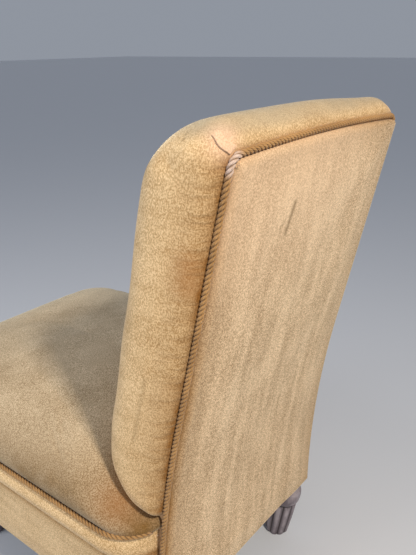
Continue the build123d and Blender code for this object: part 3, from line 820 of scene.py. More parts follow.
def settle(piece: Thing, held: Array, cap: float = 5 * MM, frames: int = 12) -> None:
    """Blow a padded piece up as cloth, with its held points pinned, and keep the capped move.

    Args:
        piece: Closed piece.
        held: One value for each vertex: 1 where it is sewn or rests, 0 or over 1 where it is free.
        cap: Farthest that a point may move.
        frames: Steps of the simulation.
    """
    start = vertices_of(piece)
    group = piece.vertex_groups.new(name="held")
    for level in (0.25, 0.5, 0.75, 1.0):
        chosen = np.flatnonzero((held > level - 0.25) & (held <= level))
        group.add(chosen.tolist(), level, "REPLACE")
    cloth = piece.modifiers.new("cloth", "CLOTH")
    for name, value in CLOTH.items():
        setattr(cloth.settings, name, value)
    cloth.settings.effector_weights.gravity = 0
    cloth.collision_settings.use_collision = False
    cloth.point_cache.frame_end = frames
    scene = bpy.context.scene
    for step in range(1, frames + 1):
        scene.frame_set(step)
    shape = piece.evaluated_get(bpy.context.evaluated_depsgraph_get()).to_mesh()
    move = rows_of(shape, "co") - start
    length = np.linalg.norm(move, axis=1, keepdims=True)
    move *= np.minimum(1, cap / np.maximum(length, 1e-9))
    piece.modifiers.clear()
    piece.vertex_groups.clear()
    scene.frame_set(1)
    piece.data.vertices.foreach_set("co", (start + move).astype(np.float32).ravel())
    piece.data.update()


def dress(piece: Thing, finish: Material) -> None:
    """Give a piece one finish in place of what it has."""
    piece.data.materials.clear()
    piece.data.materials.append(finish)


class Maker:
    """A part of the chair that builds one piece and says what it stands for."""

    def build(self) -> Thing:
        """Make the piece."""
        raise NotImplementedError

    def finish(self, piece: Thing) -> None:
        """Paint the piece, and hide the nodes that it replaces."""
        raise NotImplementedError

    def add(self, finish: Material) -> Thing:
        """Build and dress the piece, let it ride on the chair and report it.

        Args:
            finish: Finish of the piece.

        Returns:
            The piece.
        """
        piece = self.build()
        dress(piece, finish)
        self.finish(piece)
        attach(piece, "root")
        LOG.info("%s: %d vertices", piece.name, len(piece.data.vertices))
        return piece


@dataclass(frozen=True)
class BackCushion(Maker):
    """Padded back: a rounded upright profile carried from side to side, with full side borders."""

    line: OutsideBack
    rim: float = 3.8 * MM
    depth: float = 100 * MM
    foot_depth: float = 91 * MM
    foot_rise: float = 190 * MM
    belly_rise: float = 295 * MM
    top_rise: float = 656 * MM
    top_slope: float = math.radians(14)
    swell: float = 18 * MM
    crown: float = 10 * MM
    bulge: float = 0.2
    rear_edge: float = 21 * MM
    front_edge: float = 32 * MM
    top_sag: float = 3 * MM
    right_sag: float = 7 * MM
    top_edge: float = 42 * MM
    radii: tuple[float, ...] = (22 * MM, 88 * MM, 300 * MM, 60 * MM)
    count: int = 361
    core_depth: float = 0.05
    core_inset: float = 60 * MM
    ripple: float = 1.2 * MM
    soften_times: int = 8
    rest_z: Span = (0.335, 0.36)
    sag_below_cord: float = 0.05
    sag_above_cord: float = 0.025
    sag_x: Span = (0.0, 0.17)
    seam_run: float = 0.03
    crease_z: Span = (0.735, 0.762)
    gather_z: Span = (0.735, 0.755)
    top_shade_z: Span = (0.752, 0.769)
    corner: Triple = (0.175, 0.318, 0.757)
    press: Stretch = ((0.1996, 0.2346, 0.510), (0.2016, 0.2141, 0.4276))
    handled: Stretch = ((0.1918, 0.2901, 0.6462), (0.1916, 0.2868, 0.6258))
    specks: tuple[Triple, ...] = ((0.1823, 0.2812, 0.7567), (0.1772, 0.2805, 0.7611))

    def profile(self) -> Array:
        """Closed profile of y and rise: up the rear line, over the top, down the front and under."""
        rises = np.linspace(self.foot_rise, self.line.cord_rise - 1.6 * self.radii[0], 14)
        rear = np.stack([self.line.y(rises, self.rim), rises], -1)
        top_rear = (float(self.line.y(self.top_rise, self.rim)), self.top_rise)
        fall = (self.depth - self.rim) * math.tan(self.top_slope)
        top_front = (float(self.line.y(self.top_rise - fall)) - self.depth, self.top_rise - fall)
        belly = (float(self.line.y(self.belly_rise)) - self.depth, self.belly_rise)
        foot = (float(self.line.y(self.foot_rise)) - self.foot_depth, self.foot_rise)
        corners = [tuple(rear[-1]), top_rear, top_front, belly, foot, tuple(rear[0])]
        return even_line(np.vstack([rear[:-1], rounded(corners, self.radii, 24)]), self.count)

    def _cap(self, rim: Array) -> Array:
        """Side border inside a rim: straight lines from its rear half to its front half, bulged.

        Args:
            rim: Closed line of points, from the middle of the foot.

        Returns:
            The grid.
        """
        half_count = len(rim) // 2
        near, far = rim[: half_count + 1], rim[::-1][: half_count + 1]
        across = np.linspace(0, 1, 40)[:, None, None]
        grid = near + (far - near) * across
        width = np.linalg.norm(far - near, axis=1)[None]
        full = self.bulge * width * np.minimum(1, width / 0.03)
        grid[..., 0] += full * (across * (1 - across))[..., 0]
        return grid

    def _sagged(self, points: Array) -> Array:
        """Lower the top a little all along, and more towards the right, as wear has done."""
        cord = self.line.cord_rise
        rise = points[..., 2] - self.line.floor_gap
        worn = ramp(rise, cord - self.sag_below_cord, cord + self.sag_above_cord)
        drop = worn * (self.top_sag + self.right_sag * ramp(-points[..., 0], *self.sag_x))
        return points - np.stack([0 * drop, 0 * drop, drop], -1)

    def build(self) -> Thing:
        """Rows run from side border to side border: rounded edge, body and edge; caps shut both ends.

        Returns:
            The cushion.
        """
        profile = self.profile()
        step = float(np.linalg.norm(np.diff(profile[:2], axis=0)))
        ring = np.roll(profile[:-1], round(0.5 * self.foot_depth / step), 0)
        loop = np.vstack([ring, ring[:1]])
        rise = loop[:, 1]
        core_rise = np.clip(rise, self.foot_rise + self.core_inset, self.top_rise - self.core_inset)
        core = np.stack([self.line.y(core_rise, self.core_depth), core_rise], -1)
        inward = unit(core - loop)
        front = ramp((self.line.y(rise) - loop[:, 0]) / self.depth, 0.2, 0.8)
        edge = self.rear_edge + (self.front_edge - self.rear_edge) * front
        high = ramp(rise, self.line.cord_rise - 0.02, self.top_rise - 0.004)
        edge = edge + (self.top_edge - edge) * high
        half = self.line.half(rise) + self.swell
        body = np.linspace(0, 1, 40)[:, None]
        turn = np.linspace(0, math.pi / 2 - self.bulge, 16)[1:, None]
        x = np.vstack([body * (half - edge), half - edge + edge * np.sin(turn)])
        inset = np.vstack([0 * body * edge, edge * (1 - np.cos(turn))])
        flat = loop + inward * inset[..., None]
        flat[..., 0] -= self.crown * front * np.clip(1 - (x / half) ** 2, 0, 1)
        ripple = np.sin(x * 23 + flat[..., 1] * 31) * np.cos(flat[..., 1] * 17)
        flat[..., 0] += self.ripple * front * ripple
        rows = np.stack([x, flat[..., 0], self.line.floor_gap + flat[..., 1]], -1)
        cap = self._cap(rows[-1])
        points = self._sagged(np.vstack([rows[:0:-1] * (-1, 1, 1), rows]))
        uv = grid_of(np.linspace(0, 1, len(loop))[None], points[..., 0])
        caps = [self._sagged(cap * (side, 1, 1)) for side in (1, -1)]
        patches = [Patch(points, uv), *(Patch(end, end[..., 1:]) for end in caps)]
        piece = make_piece("back_cushion", patches)
        soften(piece, np.ones(len(piece.data.vertices), bool), self.soften_times)
        place = vertices_of(piece)
        seam = nearest(place, self.line.cord_line(SEAM_POINTS))
        low = 1 - ramp(place[:, 2], *self.rest_z)
        settle(piece, np.clip(1.3 - seam / self.seam_run, 0, 1) + low)
        return piece

    def finish(self, piece: Thing) -> None:
        """Paint shade into the creases along the cord and over the top, a shaded press line, and the marks
        of wear.
        """
        place = vertices_of(piece)
        z = place[:, 2]
        seam = nearest(place, self.line.cord_line(SEAM_POINTS))
        # Painted shade in the creases along the cord, fading out over the top.
        below = 1 - 0.95 * ramp(z, *self.crease_z)
        crease_shade = np.clip(0.6 * bell(seam, 0.008) + 0.6 * bell(seam, 0.038), 0, 1)
        paint(piece, "crease_shade", crease_shade * below)
        # Gathers by the cord: bump relief, with painted shade in their folds.
        paint(piece, "gather", bell(seam, 0.030) * (1 - ramp(z, *self.gather_z)))
        rubbed = bell(distance(np.abs(place), self.corner), 0.015)
        paint(piece, "worn", np.where(place[:, 0] > 0, *WORN_LEFT_RIGHT) * rubbed)
        # Painted shade over the top of the cushion.
        paint(piece, "top_shade", 0.58 * ramp(z, *self.top_shade_z))
        paint(piece, "stain", 0.4 * bell(to_segment(place, *self.handled), 0.016))
        # Painted shade of a pressed fold line; the specks are dark marks.
        press = to_segment(place, *self.press)
        speck = np.minimum(*(distance(place, spot) for spot in self.specks))
        paint(piece, "mark", 0.26 * bell(press, 0.003) + 0.6 * bell(speck, 0.0022))
        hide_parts("back_cover", "back_stuffing")


@dataclass(frozen=True)
class BackPanel(Maker):
    """Outside back: a thin padded panel inside the cord, fullest in its middle."""

    line: OutsideBack
    gap: float = 2.4 * MM
    puff: float = 3 * MM
    puff_run: float = 0.075
    lip: float = 5.5 * MM
    lip_run: float = 11 * MM
    right_lip: float = 1.2 * MM
    thickness: float = 3 * MM
    ripple: float = 0.5 * MM
    right_x: Span = (0.08, 0.15)
    lit_top_z: Span = (0.52, 0.72)
    lit_top_x: Span = (-0.17, 0.02)
    stroke: Stretch = ((0.0572, 0, 0.681), (0.0625, 0, 0.648))
    branch: Stretch = ((0.077, 0, 0.655), (0.071, 0, 0.663))
    corner: Triple = (0.172, 0.334, 0.738)

    def build(self) -> Thing:
        """Outer grid swells behind the line, inner grid is flat, and they meet at the rim.

        Returns:
            The panel.
        """
        line = self.line
        share = np.linspace(-1, 1, 151)[None]
        up = np.linspace(0, 1, 241)[:, None]
        inner = line.corner - self.gap
        half_top = line.half_top - self.gap
        over = np.clip((np.abs(share) * half_top - (half_top - inner)) / inner, 0, 1)
        top = line.cord_rise - self.gap + line.crown * (1 - share**2) - inner * (1 - np.sqrt(1 - over**2))
        low = -line.hem
        rise = low + (top - low) * up
        x = share * (line.half(rise) - self.gap)
        edges = [(1 - np.abs(share)) * half_top + 0 * up, top - rise, (rise - low) * 1.6]
        rim = np.minimum.reduce(edges)
        full = ramp(rim, 0, self.puff_run)
        right = ramp(-x, *self.right_x)
        lip = np.sqrt(1 - (1 - np.clip(rim / (self.lip_run * (1 - 0.55 * right)), 0, 1)) ** 2)
        wave = self.ripple * np.sin(x * 40 + rise * 9) * np.sin(rise * 21 + 1) * full
        swell = (self.lip + self.right_lip * right) * lip
        depth = self.thickness * (1 - lip) - swell - self.puff * full - wave
        uv = grid_of(x, rise)
        outer = line.points(x, rise, depth)
        rear = line.points(x, rise, self.thickness + 0 * x)
        return make_piece("back_panel", [Patch(outer, uv), Patch(rear[::-1], uv[::-1])])

    def finish(self, piece: Thing) -> None:
        """Paint shade into the creases inside the cord and at the hem, a shaded fold line, the rubbed
        corners and a painted highlight on the upper part.
        """
        place = vertices_of(piece)
        seam = nearest(place, self.line.cord_line(SEAM_POINTS))
        hem = place[:, 2] - self.line.floor_gap + self.line.hem
        # Painted shade in the creases along the cord and at the hem.
        crease_shade = 0.5 * bell(seam, 0.008) + 0.48 * bell(seam, 0.036) + 0.3 * bell(hem, 0.012)
        paint(piece, "crease_shade", np.clip(crease_shade, 0, 1))
        flat = place * (1, 0, 1)
        # Painted shade of a fold line, with a short branch.
        stroke, branch = to_segment(flat, *self.stroke), to_segment(flat, *self.branch)
        paint(piece, "mark", 0.72 * bell(stroke, 0.0028) + 0.35 * bell(branch, 0.0022))
        rub = [distance(place * (side, 1, 1), self.corner) for side in (1, -1)]
        # Painted highlight over the upper part, fading out towards the right; the corners are real rubs.
        lit_top = 0.42 * ramp(place[:, 2], *self.lit_top_z) * ramp(place[:, 0], *self.lit_top_x)
        paint(piece, "worn", np.maximum(lit_top, 0.6 * bell(np.minimum(*rub), 0.008)))
        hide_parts("outside_back_panel")


@dataclass(frozen=True)
class SeatCushion(Maker):
    """Crowned sprung seat: drawn in at the cord, swelling over it, then domed."""

    plan: SeatPlan
    swell: float = 8.5 * MM
    crown: float = 78 * MM
    run: float = 146 * MM
    ripple: float = 1.3 * MM
    rear_lift: float = 11 * MM
    drop: float = 5 * MM
    peak: float = 2.5 * MM
    spine: Span = (-0.08, -0.02)
    domed_z: Span = (0.335, 0.37)
    lift_y: Span = (-0.28, -0.06)
    sewn_z: Span = (0.301, 0.316)
    sewn_y: Span = (0.12, 0.17)
    near_y: Span = (-0.1, 0.2)
    left_x: Span = (-0.15, 0.1)
    foot: float = 6 * MM
    soften_times: int = 10
    shade_rise: float = 84 * MM
    stain: Triple = (0.2090, 0.1860, 0.3310)
    shape: tuple[Triple, ...] = (
        (0.0, 0.0, 0.0),
        (0.14, -0.7, 0.01),
        (0.30, -1.0, 0.16),
        (0.48, -0.5, 0.36),
        (0.64, 0.05, 0.49),
        (0.78, 0.18, 0.60),
        (0.90, 0.38, 0.75),
        (0.97, 0.62, 0.90),
        (1.0, 0.88, 1.05),
    )

    def build(self) -> Thing:
        """Rings climb the side and close in over the crown; a flat base shuts the form.

        Returns:
            The cushion.
        """
        share, side, behind = np.array(self.shape).T
        side = side * np.where(side > 0, self.run, self.swell)
        rows = np.stack([share * self.crown, side, behind * self.run], -1)
        rise, side, behind = smooth_rows(rows, 56).T
        pattern = self.plan.pattern(70, 18, False)
        radius = self.plan.corner * (1 + 0.6 * np.maximum(side, 0) / self.run)
        rings = self.plan.rings(pattern, -side, -behind, radius)
        z = self.plan.cord_z + rise
        close = np.linspace(0, 1, 18)[1:, None, None]
        spine = np.stack([0 * rings[-1][:, 0], np.clip(rings[-1][:, 1], *self.spine)], -1)
        roof = rings[-1] + (spine - rings[-1]) * close
        base = rings[0] + (spine - rings[0]) * np.linspace(1, 0, 8)[:-1, None, None]
        peak = z[-1] + self.peak * np.sin(close[:, 0, 0] * math.pi / 2)
        levels = np.concatenate([np.full(len(base), z[0]), z, peak])
        points = raised(np.concatenate([base, rings, roof]), levels)
        domed = ramp(points[..., 2], *self.domed_z)
        ripple = np.sin(points[..., 0] * 19 + 0.6) * np.cos(points[..., 1] * 14)
        points[..., 2] += self.ripple * domed * ripple
        points[..., 2] += domed * (self.rear_lift * ramp(points[..., 1], *self.lift_y) - self.drop)
        piece = make_piece("seat_cushion", [Patch(points, points[..., :2])])
        soften(piece, vertices_of(piece)[:, 2] > self.plan.cord_z + self.foot, self.soften_times)
        place = vertices_of(piece)
        held = (1 - ramp(place[:, 2], *self.sewn_z)) + ramp(place[:, 1], *self.sewn_y)
        settle(piece, np.clip(held, 0, 1))
        return piece

    def finish(self, piece: Thing) -> None:
        """Paint shade on the foot of the seat, darkest at the cord, and its stain."""
        place = vertices_of(piece)
        # Painted shade on the foot of the seat: darkest at the cord, stronger on the left and towards the
        # rear.
        low = np.clip(1 - (place[:, 2] - self.plan.cord_z) / self.shade_rise, 0, 1)
        near, left = ramp(place[:, 1], *self.near_y), ramp(place[:, 0], *self.left_x)
        paint(piece, "crease_shade", np.clip((0.45 + left * (0.4 + 0.6 * near)) * low, 0, 0.85))
        paint(piece, "stain", 0.45 * bell(distance(place, self.stain), 0.028))
        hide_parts("seat_cover", "seat_stuffing")


@dataclass(frozen=True)
class SeatBorder(Maker):
    """A padded band round the seat, open behind: a profile of share up and share out on a wall."""

    plan: SeatPlan
    name: str
    node: str
    fill: float
    foot_half: float
    low: float
    high: float
    swell: float
    rows: int
    shape: tuple[Span, ...]
    frame_half: float = 195 * MM
    rear_trim: float = 6 * MM

    def build(self) -> Thing:
        """Carry the profile round the plan; it closes on its inner wall and at its ends.

        Returns:
            The band.
        """
        plan = self.plan
        profile = smooth_rows(self.shape, self.rows)
        out = self.foot_half - plan.half + profile[:, 1] * self.swell
        z = self.low + profile[:, 0] * (self.high - self.low)
        wall = self.frame_half - plan.half
        outs = np.concatenate([[wall], out, [wall, wall]])
        levels = np.concatenate([[z[0]], z, [z[-1], z[0]]])
        pattern = plan.pattern(64, 20, True)
        rings = plan.rings(pattern, outs, -self.rear_trim + 0 * outs, plan.corner + outs)
        points = raised(rings, levels)
        # Each end is a line, so its fan runs to a point inside the piece, two columns in.
        middle = points[1:-2].mean(0)
        fan_uv = np.zeros((2, len(points), 2))
        ends = [
            Patch(np.stack([points[:, end], np.repeat(middle[inner][None], len(points), 0)]), fan_uv)
            for end, inner in ((0, 2), (-1, -3))
        ]
        uv = grid_of(np.linspace(0, 1, points.shape[1])[None], levels[:, None])
        return make_piece(self.name, [Patch(points, uv), *ends])

    def finish(self, piece: Thing) -> None:
        """Paint the soft shadow of the creases at the rail and the cord."""
        z = vertices_of(piece)[:, 2]
        fold, cord = np.abs(z - self.plan.rail_z), np.abs(z - self.plan.cord_z)
        paint(piece, "crease_shade", np.clip(0.85 * bell(fold, 0.010) + 0.4 * bell(cord, 0.005), 0, 1))
        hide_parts(self.node)


@dataclass(frozen=True)
class TrimCord(Maker):
    """Cord of three twisted strands, sewn down along its whole length."""

    name: str
    node: str
    path: Array
    lift: Triple
    radius: float = 3.5 * MM
    pitch: float = 17 * MM
    strands: int = 3
    sides: int = 8
    weld: float = 1e-6
    bare: tuple[Triple, ...] = ()
    fray_radius: float = 0.34 * MM
    fray_lift: float = 0.0028
    fray_seed: int = 11

    def build(self) -> Thing:
        """Each strand is a tube on a helix round the path; the helix turns once in a pitch.

        Returns:
            The cord.
        """
        path = self.path
        along = unit(np.gradient(path, axis=0))
        side = unit(np.cross(along, np.array(self.lift)))
        other = np.cross(along, side)
        run = run_along(path)
        orbit, tube = 0.5 * self.radius, 0.52 * self.radius
        around = np.linspace(0, FULL_TURN, self.sides + 1)[None, :, None]
        patches = []
        for strand in range(self.strands):
            angle = (FULL_TURN * (run / self.pitch + strand / self.strands))[:, None]
            outward = np.cos(angle) * side + np.sin(angle) * other
            centre = path + orbit * outward
            across = np.cross(unit(np.gradient(centre, axis=0)), outward)
            ring = np.cos(around) * outward[:, None] + np.sin(around) * across[:, None]
            tips = [np.repeat(centre[end][None, None], self.sides + 1, 1) for end in (0, -1)]
            points = np.concatenate([tips[0], centre[:, None] + tube * ring, tips[1]])
            length = np.concatenate([[0], run, [run[-1]]])
            patches.append(Patch(points, grid_of(length[:, None], around[..., 0] / FULL_TURN)))
        return make_piece(self.name, patches + self._frays(), self.weld)

    def _frays(self) -> list[Patch]:
        """Broken yarns at the bare spots: short hairs that bend away from the cord.

        Returns:
            One thin tube for each yarn.
        """
        chance = np.random.default_rng(self.fray_seed)
        share = np.linspace(0, 1, 9)[:, None]
        around = np.linspace(0, FULL_TURN, 6)[None, :, None]
        thick = (self.fray_radius * np.sqrt(np.clip(1 - (2 * share - 1) ** 6, 0, 1)))[:, None]
        lift = np.array(self.lift) * self.fray_lift
        patches = []
        for spot in self.bare:
            start = np.array(spot) + chance.normal(0, 0.0022, 3)
            first, last = chance.normal(0, 0.0035, 3), chance.normal(0, 0.0045, 3)
            line = start + first * share + (last + lift) * share * (1 - share) * 2
            ahead = np.gradient(line, axis=0)
            across = unit(np.cross(ahead, (0.31, 0.22, 0.93)))
            other = np.cross(across, unit(ahead))
            ring = np.cos(around) * across[:, None] + np.sin(around) * other[:, None]
            points = line[:, None] + thick * ring
            patches.append(Patch(points, np.zeros((*points.shape[:2], 2))))
        return patches

    def finish(self, piece: Thing) -> None:
        """Paint shade into the hollows between the strands, and the bare stretches."""
        place = vertices_of(piece)
        out = nearest(place, self.path)
        # Painted shade in the hollows between the strands.
        paint(piece, "hollow_shade", 1 - ramp(out, 0.55 * self.radius, 0.98 * self.radius))
        if self.bare:
            spots = np.stack([distance(place, spot) for spot in self.bare])
            paint(piece, "worn", 0.75 * bell(spots.min(0), 0.005))
        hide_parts(self.node)


@dataclass(frozen=True)
class CornerTuck(Maker):
    """Mitre fold of the cover at the back's rear top corner, rubbed pale along its edge."""

    cushion: Thing
    side: int
    start: Triple = (0.1801, 0.3078, 0.7610)
    end: Triple = (0.1735, 0.3222, 0.7450)
    narrow: float = 8 * MM
    wide: float = 11 * MM
    bow: float = 1.2 * MM
    lift: float = 1.4 * MM
    rest: float = 0.8 * MM
    sink: float = 1.5 * MM
    reach: float = 0.045

    def build(self) -> Thing:
        """Strip laid on the cushion's nearest points: highest at the fold, level at its far edge.

        Returns:
            The fold.
        """
        along = np.linspace(0, 1, 24)[:, None, None]
        across = np.array([0.0, 0.0, *np.linspace(0.06, 1, 12)])[None, :, None]
        flip = np.array([self.side, 1, 1])
        first, last = np.array(self.start) * flip, np.array(self.end) * flip
        place = vertices_of(self.cushion)
        normal = rows_of(self.cushion.data, "normal")
        off = distance(place, (first + last) / 2)
        away = np.cross(last - first, normal[off.argmin()]) * self.side
        away *= -np.sign(away[0]) * self.side / np.linalg.norm(away)
        width = self.narrow + (self.wide - self.narrow) * along
        bow = self.bow * np.sin(along * 7 + 1)
        base = first + (last - first) * along + away * (across * width + bow)
        flat = base.reshape(-1, 3)
        chosen = off < self.reach
        for _ in range(2):
            flat, facing = self._laid(flat, place[chosen], normal[chosen])
        out, ground = facing.reshape(base.shape), flat.reshape(base.shape)
        arch = np.sin(math.pi * np.clip(along, 0.04, 1) ** 0.6 * 0.75)
        height = self.rest + self.lift * (1 - across) ** 0.8 * arch
        height[[0, -1]] = -self.sink
        height[:, [0, -1]] = -self.sink
        uv = base[..., :2]
        layers = [Patch(ground + out * height, uv), Patch((ground - out * self.sink)[::-1], uv[::-1])]
        return make_piece("corner_tuck_left" if self.side > 0 else "corner_tuck_right", layers)

    def _laid(self, points: Array, place: Array, normal: Array) -> tuple[Array, Array]:
        """Move points onto a surface by the weighted mean of its nearest places and normals.

        Args:
            points: Points to lay down.
            place: Places on the surface.
            normal: Normals at these places.

        Returns:
            The laid points and the surface's normal at each.
        """
        reach = place[None] - points[:, None]
        weight = bell(np.linalg.norm(reach, axis=2), 0.004)[..., None] + 1e-12
        facing = unit((weight * normal[None]).sum(1))
        weight = weight[..., 0]
        gap = (weight * (reach * facing[:, None]).sum(2)).sum(1) / weight.sum(1)
        return points + gap[:, None] * facing, facing

    def finish(self, piece: Thing) -> None:
        """Paint the fold as worn cover."""
        paint(piece, "worn", np.where(vertices_of(piece)[:, 0] > 0, *WORN_LEFT_RIGHT))


@dataclass(frozen=True)
class ReededLeg(Maker):
    """Turned leg: a tapered reeded foot, a ring groove, a round collar and a plain head."""

    node: str
    x: float
    y: float
    lean: float
    height: float = 130 * MM
    reed_length: float = 76 * MM
    foot_radius: float = 21 * MM
    reed_radius: float = 26.5 * MM
    reed_depth: float = 2.6 * MM
    reeds: int = 10
    reed_steps: int = 16
    belly: float = 0.8 * MM
    top_round: float = 3.2 * MM
    foot_round: float = 2.2 * MM
    top_inset: float = 3.0 * MM
    foot_inset: float = 1.6 * MM
    ring_gap: float = 3 * MM
    ring_radius: float = 23 * MM
    collar_radius: float = 29.5 * MM
    collar_step: float = 2 * MM
    collar_height: float = 26 * MM
    head_radius: float = 22 * MM
    gap: float = 0.2 * MM

    def build(self) -> Thing:
        """Radius by angle and height: reeds are arches that fade out at both their ends.

        Returns:
            The leg.
        """
        axis = self.height / math.cos(self.lean)
        reed_top = self.reed_length
        collar = reed_top + self.ring_gap
        angle = np.linspace(0, FULL_TURN, self.reeds * self.reed_steps + 1)[None]
        reed = (angle * self.reeds / FULL_TURN) % 1 * 2 - 1
        arch = 1 - np.sqrt(np.clip(1 - 0.97 * reed**2, 0, 1))
        up = np.linspace(0, reed_top, 34)[:, None]
        end = self._rounding(reed_top - up, self.top_round)
        foot = self._rounding(up, self.foot_round)
        taper = self.foot_radius + (self.reed_radius - self.foot_radius) * up / reed_top
        taper = taper + self.belly * np.sin(math.pi * up / reed_top)
        reeded = taper - self.reed_depth * arch - self.top_inset * (1 - end) - self.foot_inset * (1 - foot)
        bead = np.linspace(0, math.pi, 18)
        swell = self.collar_radius - self.reed_radius + self.collar_step
        swell = self.reed_radius - self.collar_step + swell * np.sin(bead) ** 0.6
        above = [
            (reed_top + self.gap, self.ring_radius),
            (collar - self.gap, self.ring_radius),
            *zip(collar + self.collar_height * (0.5 - 0.5 * np.cos(bead)), swell),
            (collar + self.collar_height + 3 * self.gap, self.head_radius),
            (axis, self.head_radius),
            (axis + 3 * MM, 0.0),
        ]
        heights = np.concatenate([[0.0], up[:, 0], [row[0] for row in above]])
        round_rows = np.array([row[1] for row in above])[:, None] + 0 * angle
        radius = np.vstack([0 * angle, reeded, round_rows])
        across = radius * np.sin(angle)
        level = heights[:, None] + 0 * angle
        foot_share = np.clip(1 - level / reed_top, 0, 1)
        level = level - across * math.tan(self.lean) * foot_share**2
        turned_y = across * math.cos(self.lean) + (level - axis) * math.sin(self.lean)
        turned_z = -across * math.sin(self.lean) + (level - axis) * math.cos(self.lean)
        z = np.clip(self.height + turned_z, 0, self.height - self.gap)
        points = np.stack([self.x + radius * np.cos(angle), self.y + turned_y, z], -1)
        uv = grid_of(angle / FULL_TURN, level)
        piece = make_piece(self.node.replace("_leg", "_reeded_leg"), [Patch(points, uv)])
        groove = np.vstack([0 * angle, arch * (0.4 + 0.6 * end), 0 * round_rows])
        ring = 1 + len(up)
        groove[ring : ring + 2] = 1.0
        near = nearest(vertices_of(piece), points.reshape(-1, 3)[groove.ravel() > 0.6])
        # Painted shade in the reed grooves and the ring groove.
        paint(piece, "hollow_shade", bell(near, 0.0024))
        # Painted highlight, with wear, on the reed crests away from the grooves.
        paint(piece, "worn", ramp(near, 0.0035, 0.0065))
        return piece

    @staticmethod
    def _rounding(up: Array, radius: float) -> Array:
        """Quarter circle from 0 at the start to 1 at a radius from it."""
        return np.sqrt(np.clip(1 - (up / radius - 1).clip(-1, 0) ** 2, 0, 1))

    def finish(self, piece: Thing) -> None:
        """Put the leg in place of its plain solid."""
        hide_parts(self.node)


@dataclass(frozen=True)
class DustCloth(Maker):
    """Cloth under the webbing, sagging a little and cut out round the legs."""

    legs: tuple[ReededLeg, ...]
    half: float = 191 * MM
    front: float = -286 * MM
    rear: float = 220.2 * MM
    z: float = 126.2 * MM
    sag: float = 3 * MM
    pucker: float = 0.4 * MM
    notch: float = 24 * MM

    def build(self) -> Thing:
        """Grid that sags between its edges, without the circles round the legs.

        Returns:
            The cloth.
        """
        x = np.linspace(-self.half, self.half, 96)[None]
        y = np.linspace(self.front, self.rear, 124)[:, None]
        down = (2 * y - self.front - self.rear) / (self.rear - self.front)
        hang = (1 - (x / self.half) ** 2) * (1 - down**2)
        pucker = self.pucker * np.sin(x * 90) * np.cos(y * 70) * hang
        points = grid_of(x, y, self.z - self.sag * hang + pucker)
        piece = make_piece("dust_cloth", [Patch(points, points[..., :2])])
        feet = np.array([(leg.x, leg.y) for leg in self.legs])
        near = np.linalg.norm(vertices_of(piece)[:, None, :2] - feet, axis=2).min(1) < self.notch
        with editing(piece.data) as shape:
            cut = [shape.verts[number] for number in np.flatnonzero(near)]
            bmesh.ops.delete(shape, geom=cut, context="VERTS")
        return piece

    def finish(self, piece: Thing) -> None:
        """Work out the cloth's flat size and its area without the holes, and hide the CAD dust cover."""
        with editing(piece.data) as shape:
            area = sum(face.calc_area() for face in shape.faces)
        flat = (2 * self.half, self.rear - self.front)
        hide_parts("dust_cover")


@dataclass(frozen=True)
class TackHeads(Maker):
    """Domed heads of the tacks that hold the dust cloth."""

    radius: float = 3.6 * MM
    height: float = 1.9 * MM
    sink: float = 1.3 * MM
    apart: float = 12 * MM
    level: float = 1e-5

    def build(self) -> Thing:
        """Low domes where the CAD tacks are: a quarter-round profile turned about each axis.

        Returns:
            The tacks.
        """
        heads = vertices_of(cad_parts["dust_cover_tacks"])
        bottom = heads[:, 2].min()
        low = heads[heads[:, 2] < bottom + self.level][:, :2]
        centres = []
        while len(low):
            own = distance(low, low[0]) < self.apart
            centres.append((low[own].min(0) + low[own].max(0)) / 2)
            low = low[~own]
        angle = np.linspace(0, FULL_TURN, 17)[None]
        lean = np.linspace(0, math.pi / 2, 6)[:, None]
        dome = grid_of(np.sin(lean) * np.cos(angle), np.sin(lean) * np.sin(angle), -np.cos(lean))
        scale = np.array([self.radius, self.radius, self.height])
        patches = []
        for centre in centres:
            middle = np.append(centre, bottom + self.sink)
            points = dome * scale + middle
            lid = np.stack([points[-1], np.broadcast_to(middle, points[-1].shape)])
            patches += [Patch(points, points[..., :2]), Patch(lid, lid[..., :2])]
        return make_piece("tack_heads", patches)

    def finish(self, piece: Thing) -> None:
        """Put the heads in place of the CAD tacks."""
        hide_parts("dust_cover_tacks")


@dataclass(frozen=True)
class Lamp:
    """A square soft light, with the power in watts."""

    name: str
    place: Triple
    aim: Triple
    size: float
    power: float
    colour: Colour

    def build(self) -> None:
        """Set the light, facing its aim."""
        lamp = bpy.data.lights.new(self.name, "AREA")
        lamp.size, lamp.energy, lamp.color = self.size, self.power, self.colour
        holder = bpy.data.objects.new(self.name, lamp)
        turn = (Vector(self.aim) - Vector(self.place)).to_track_quat("-Z", "Y")
        holder.matrix_world = Matrix.Translation(self.place) @ turn.to_matrix().to_4x4()
        bpy.context.scene.collection.objects.link(holder)


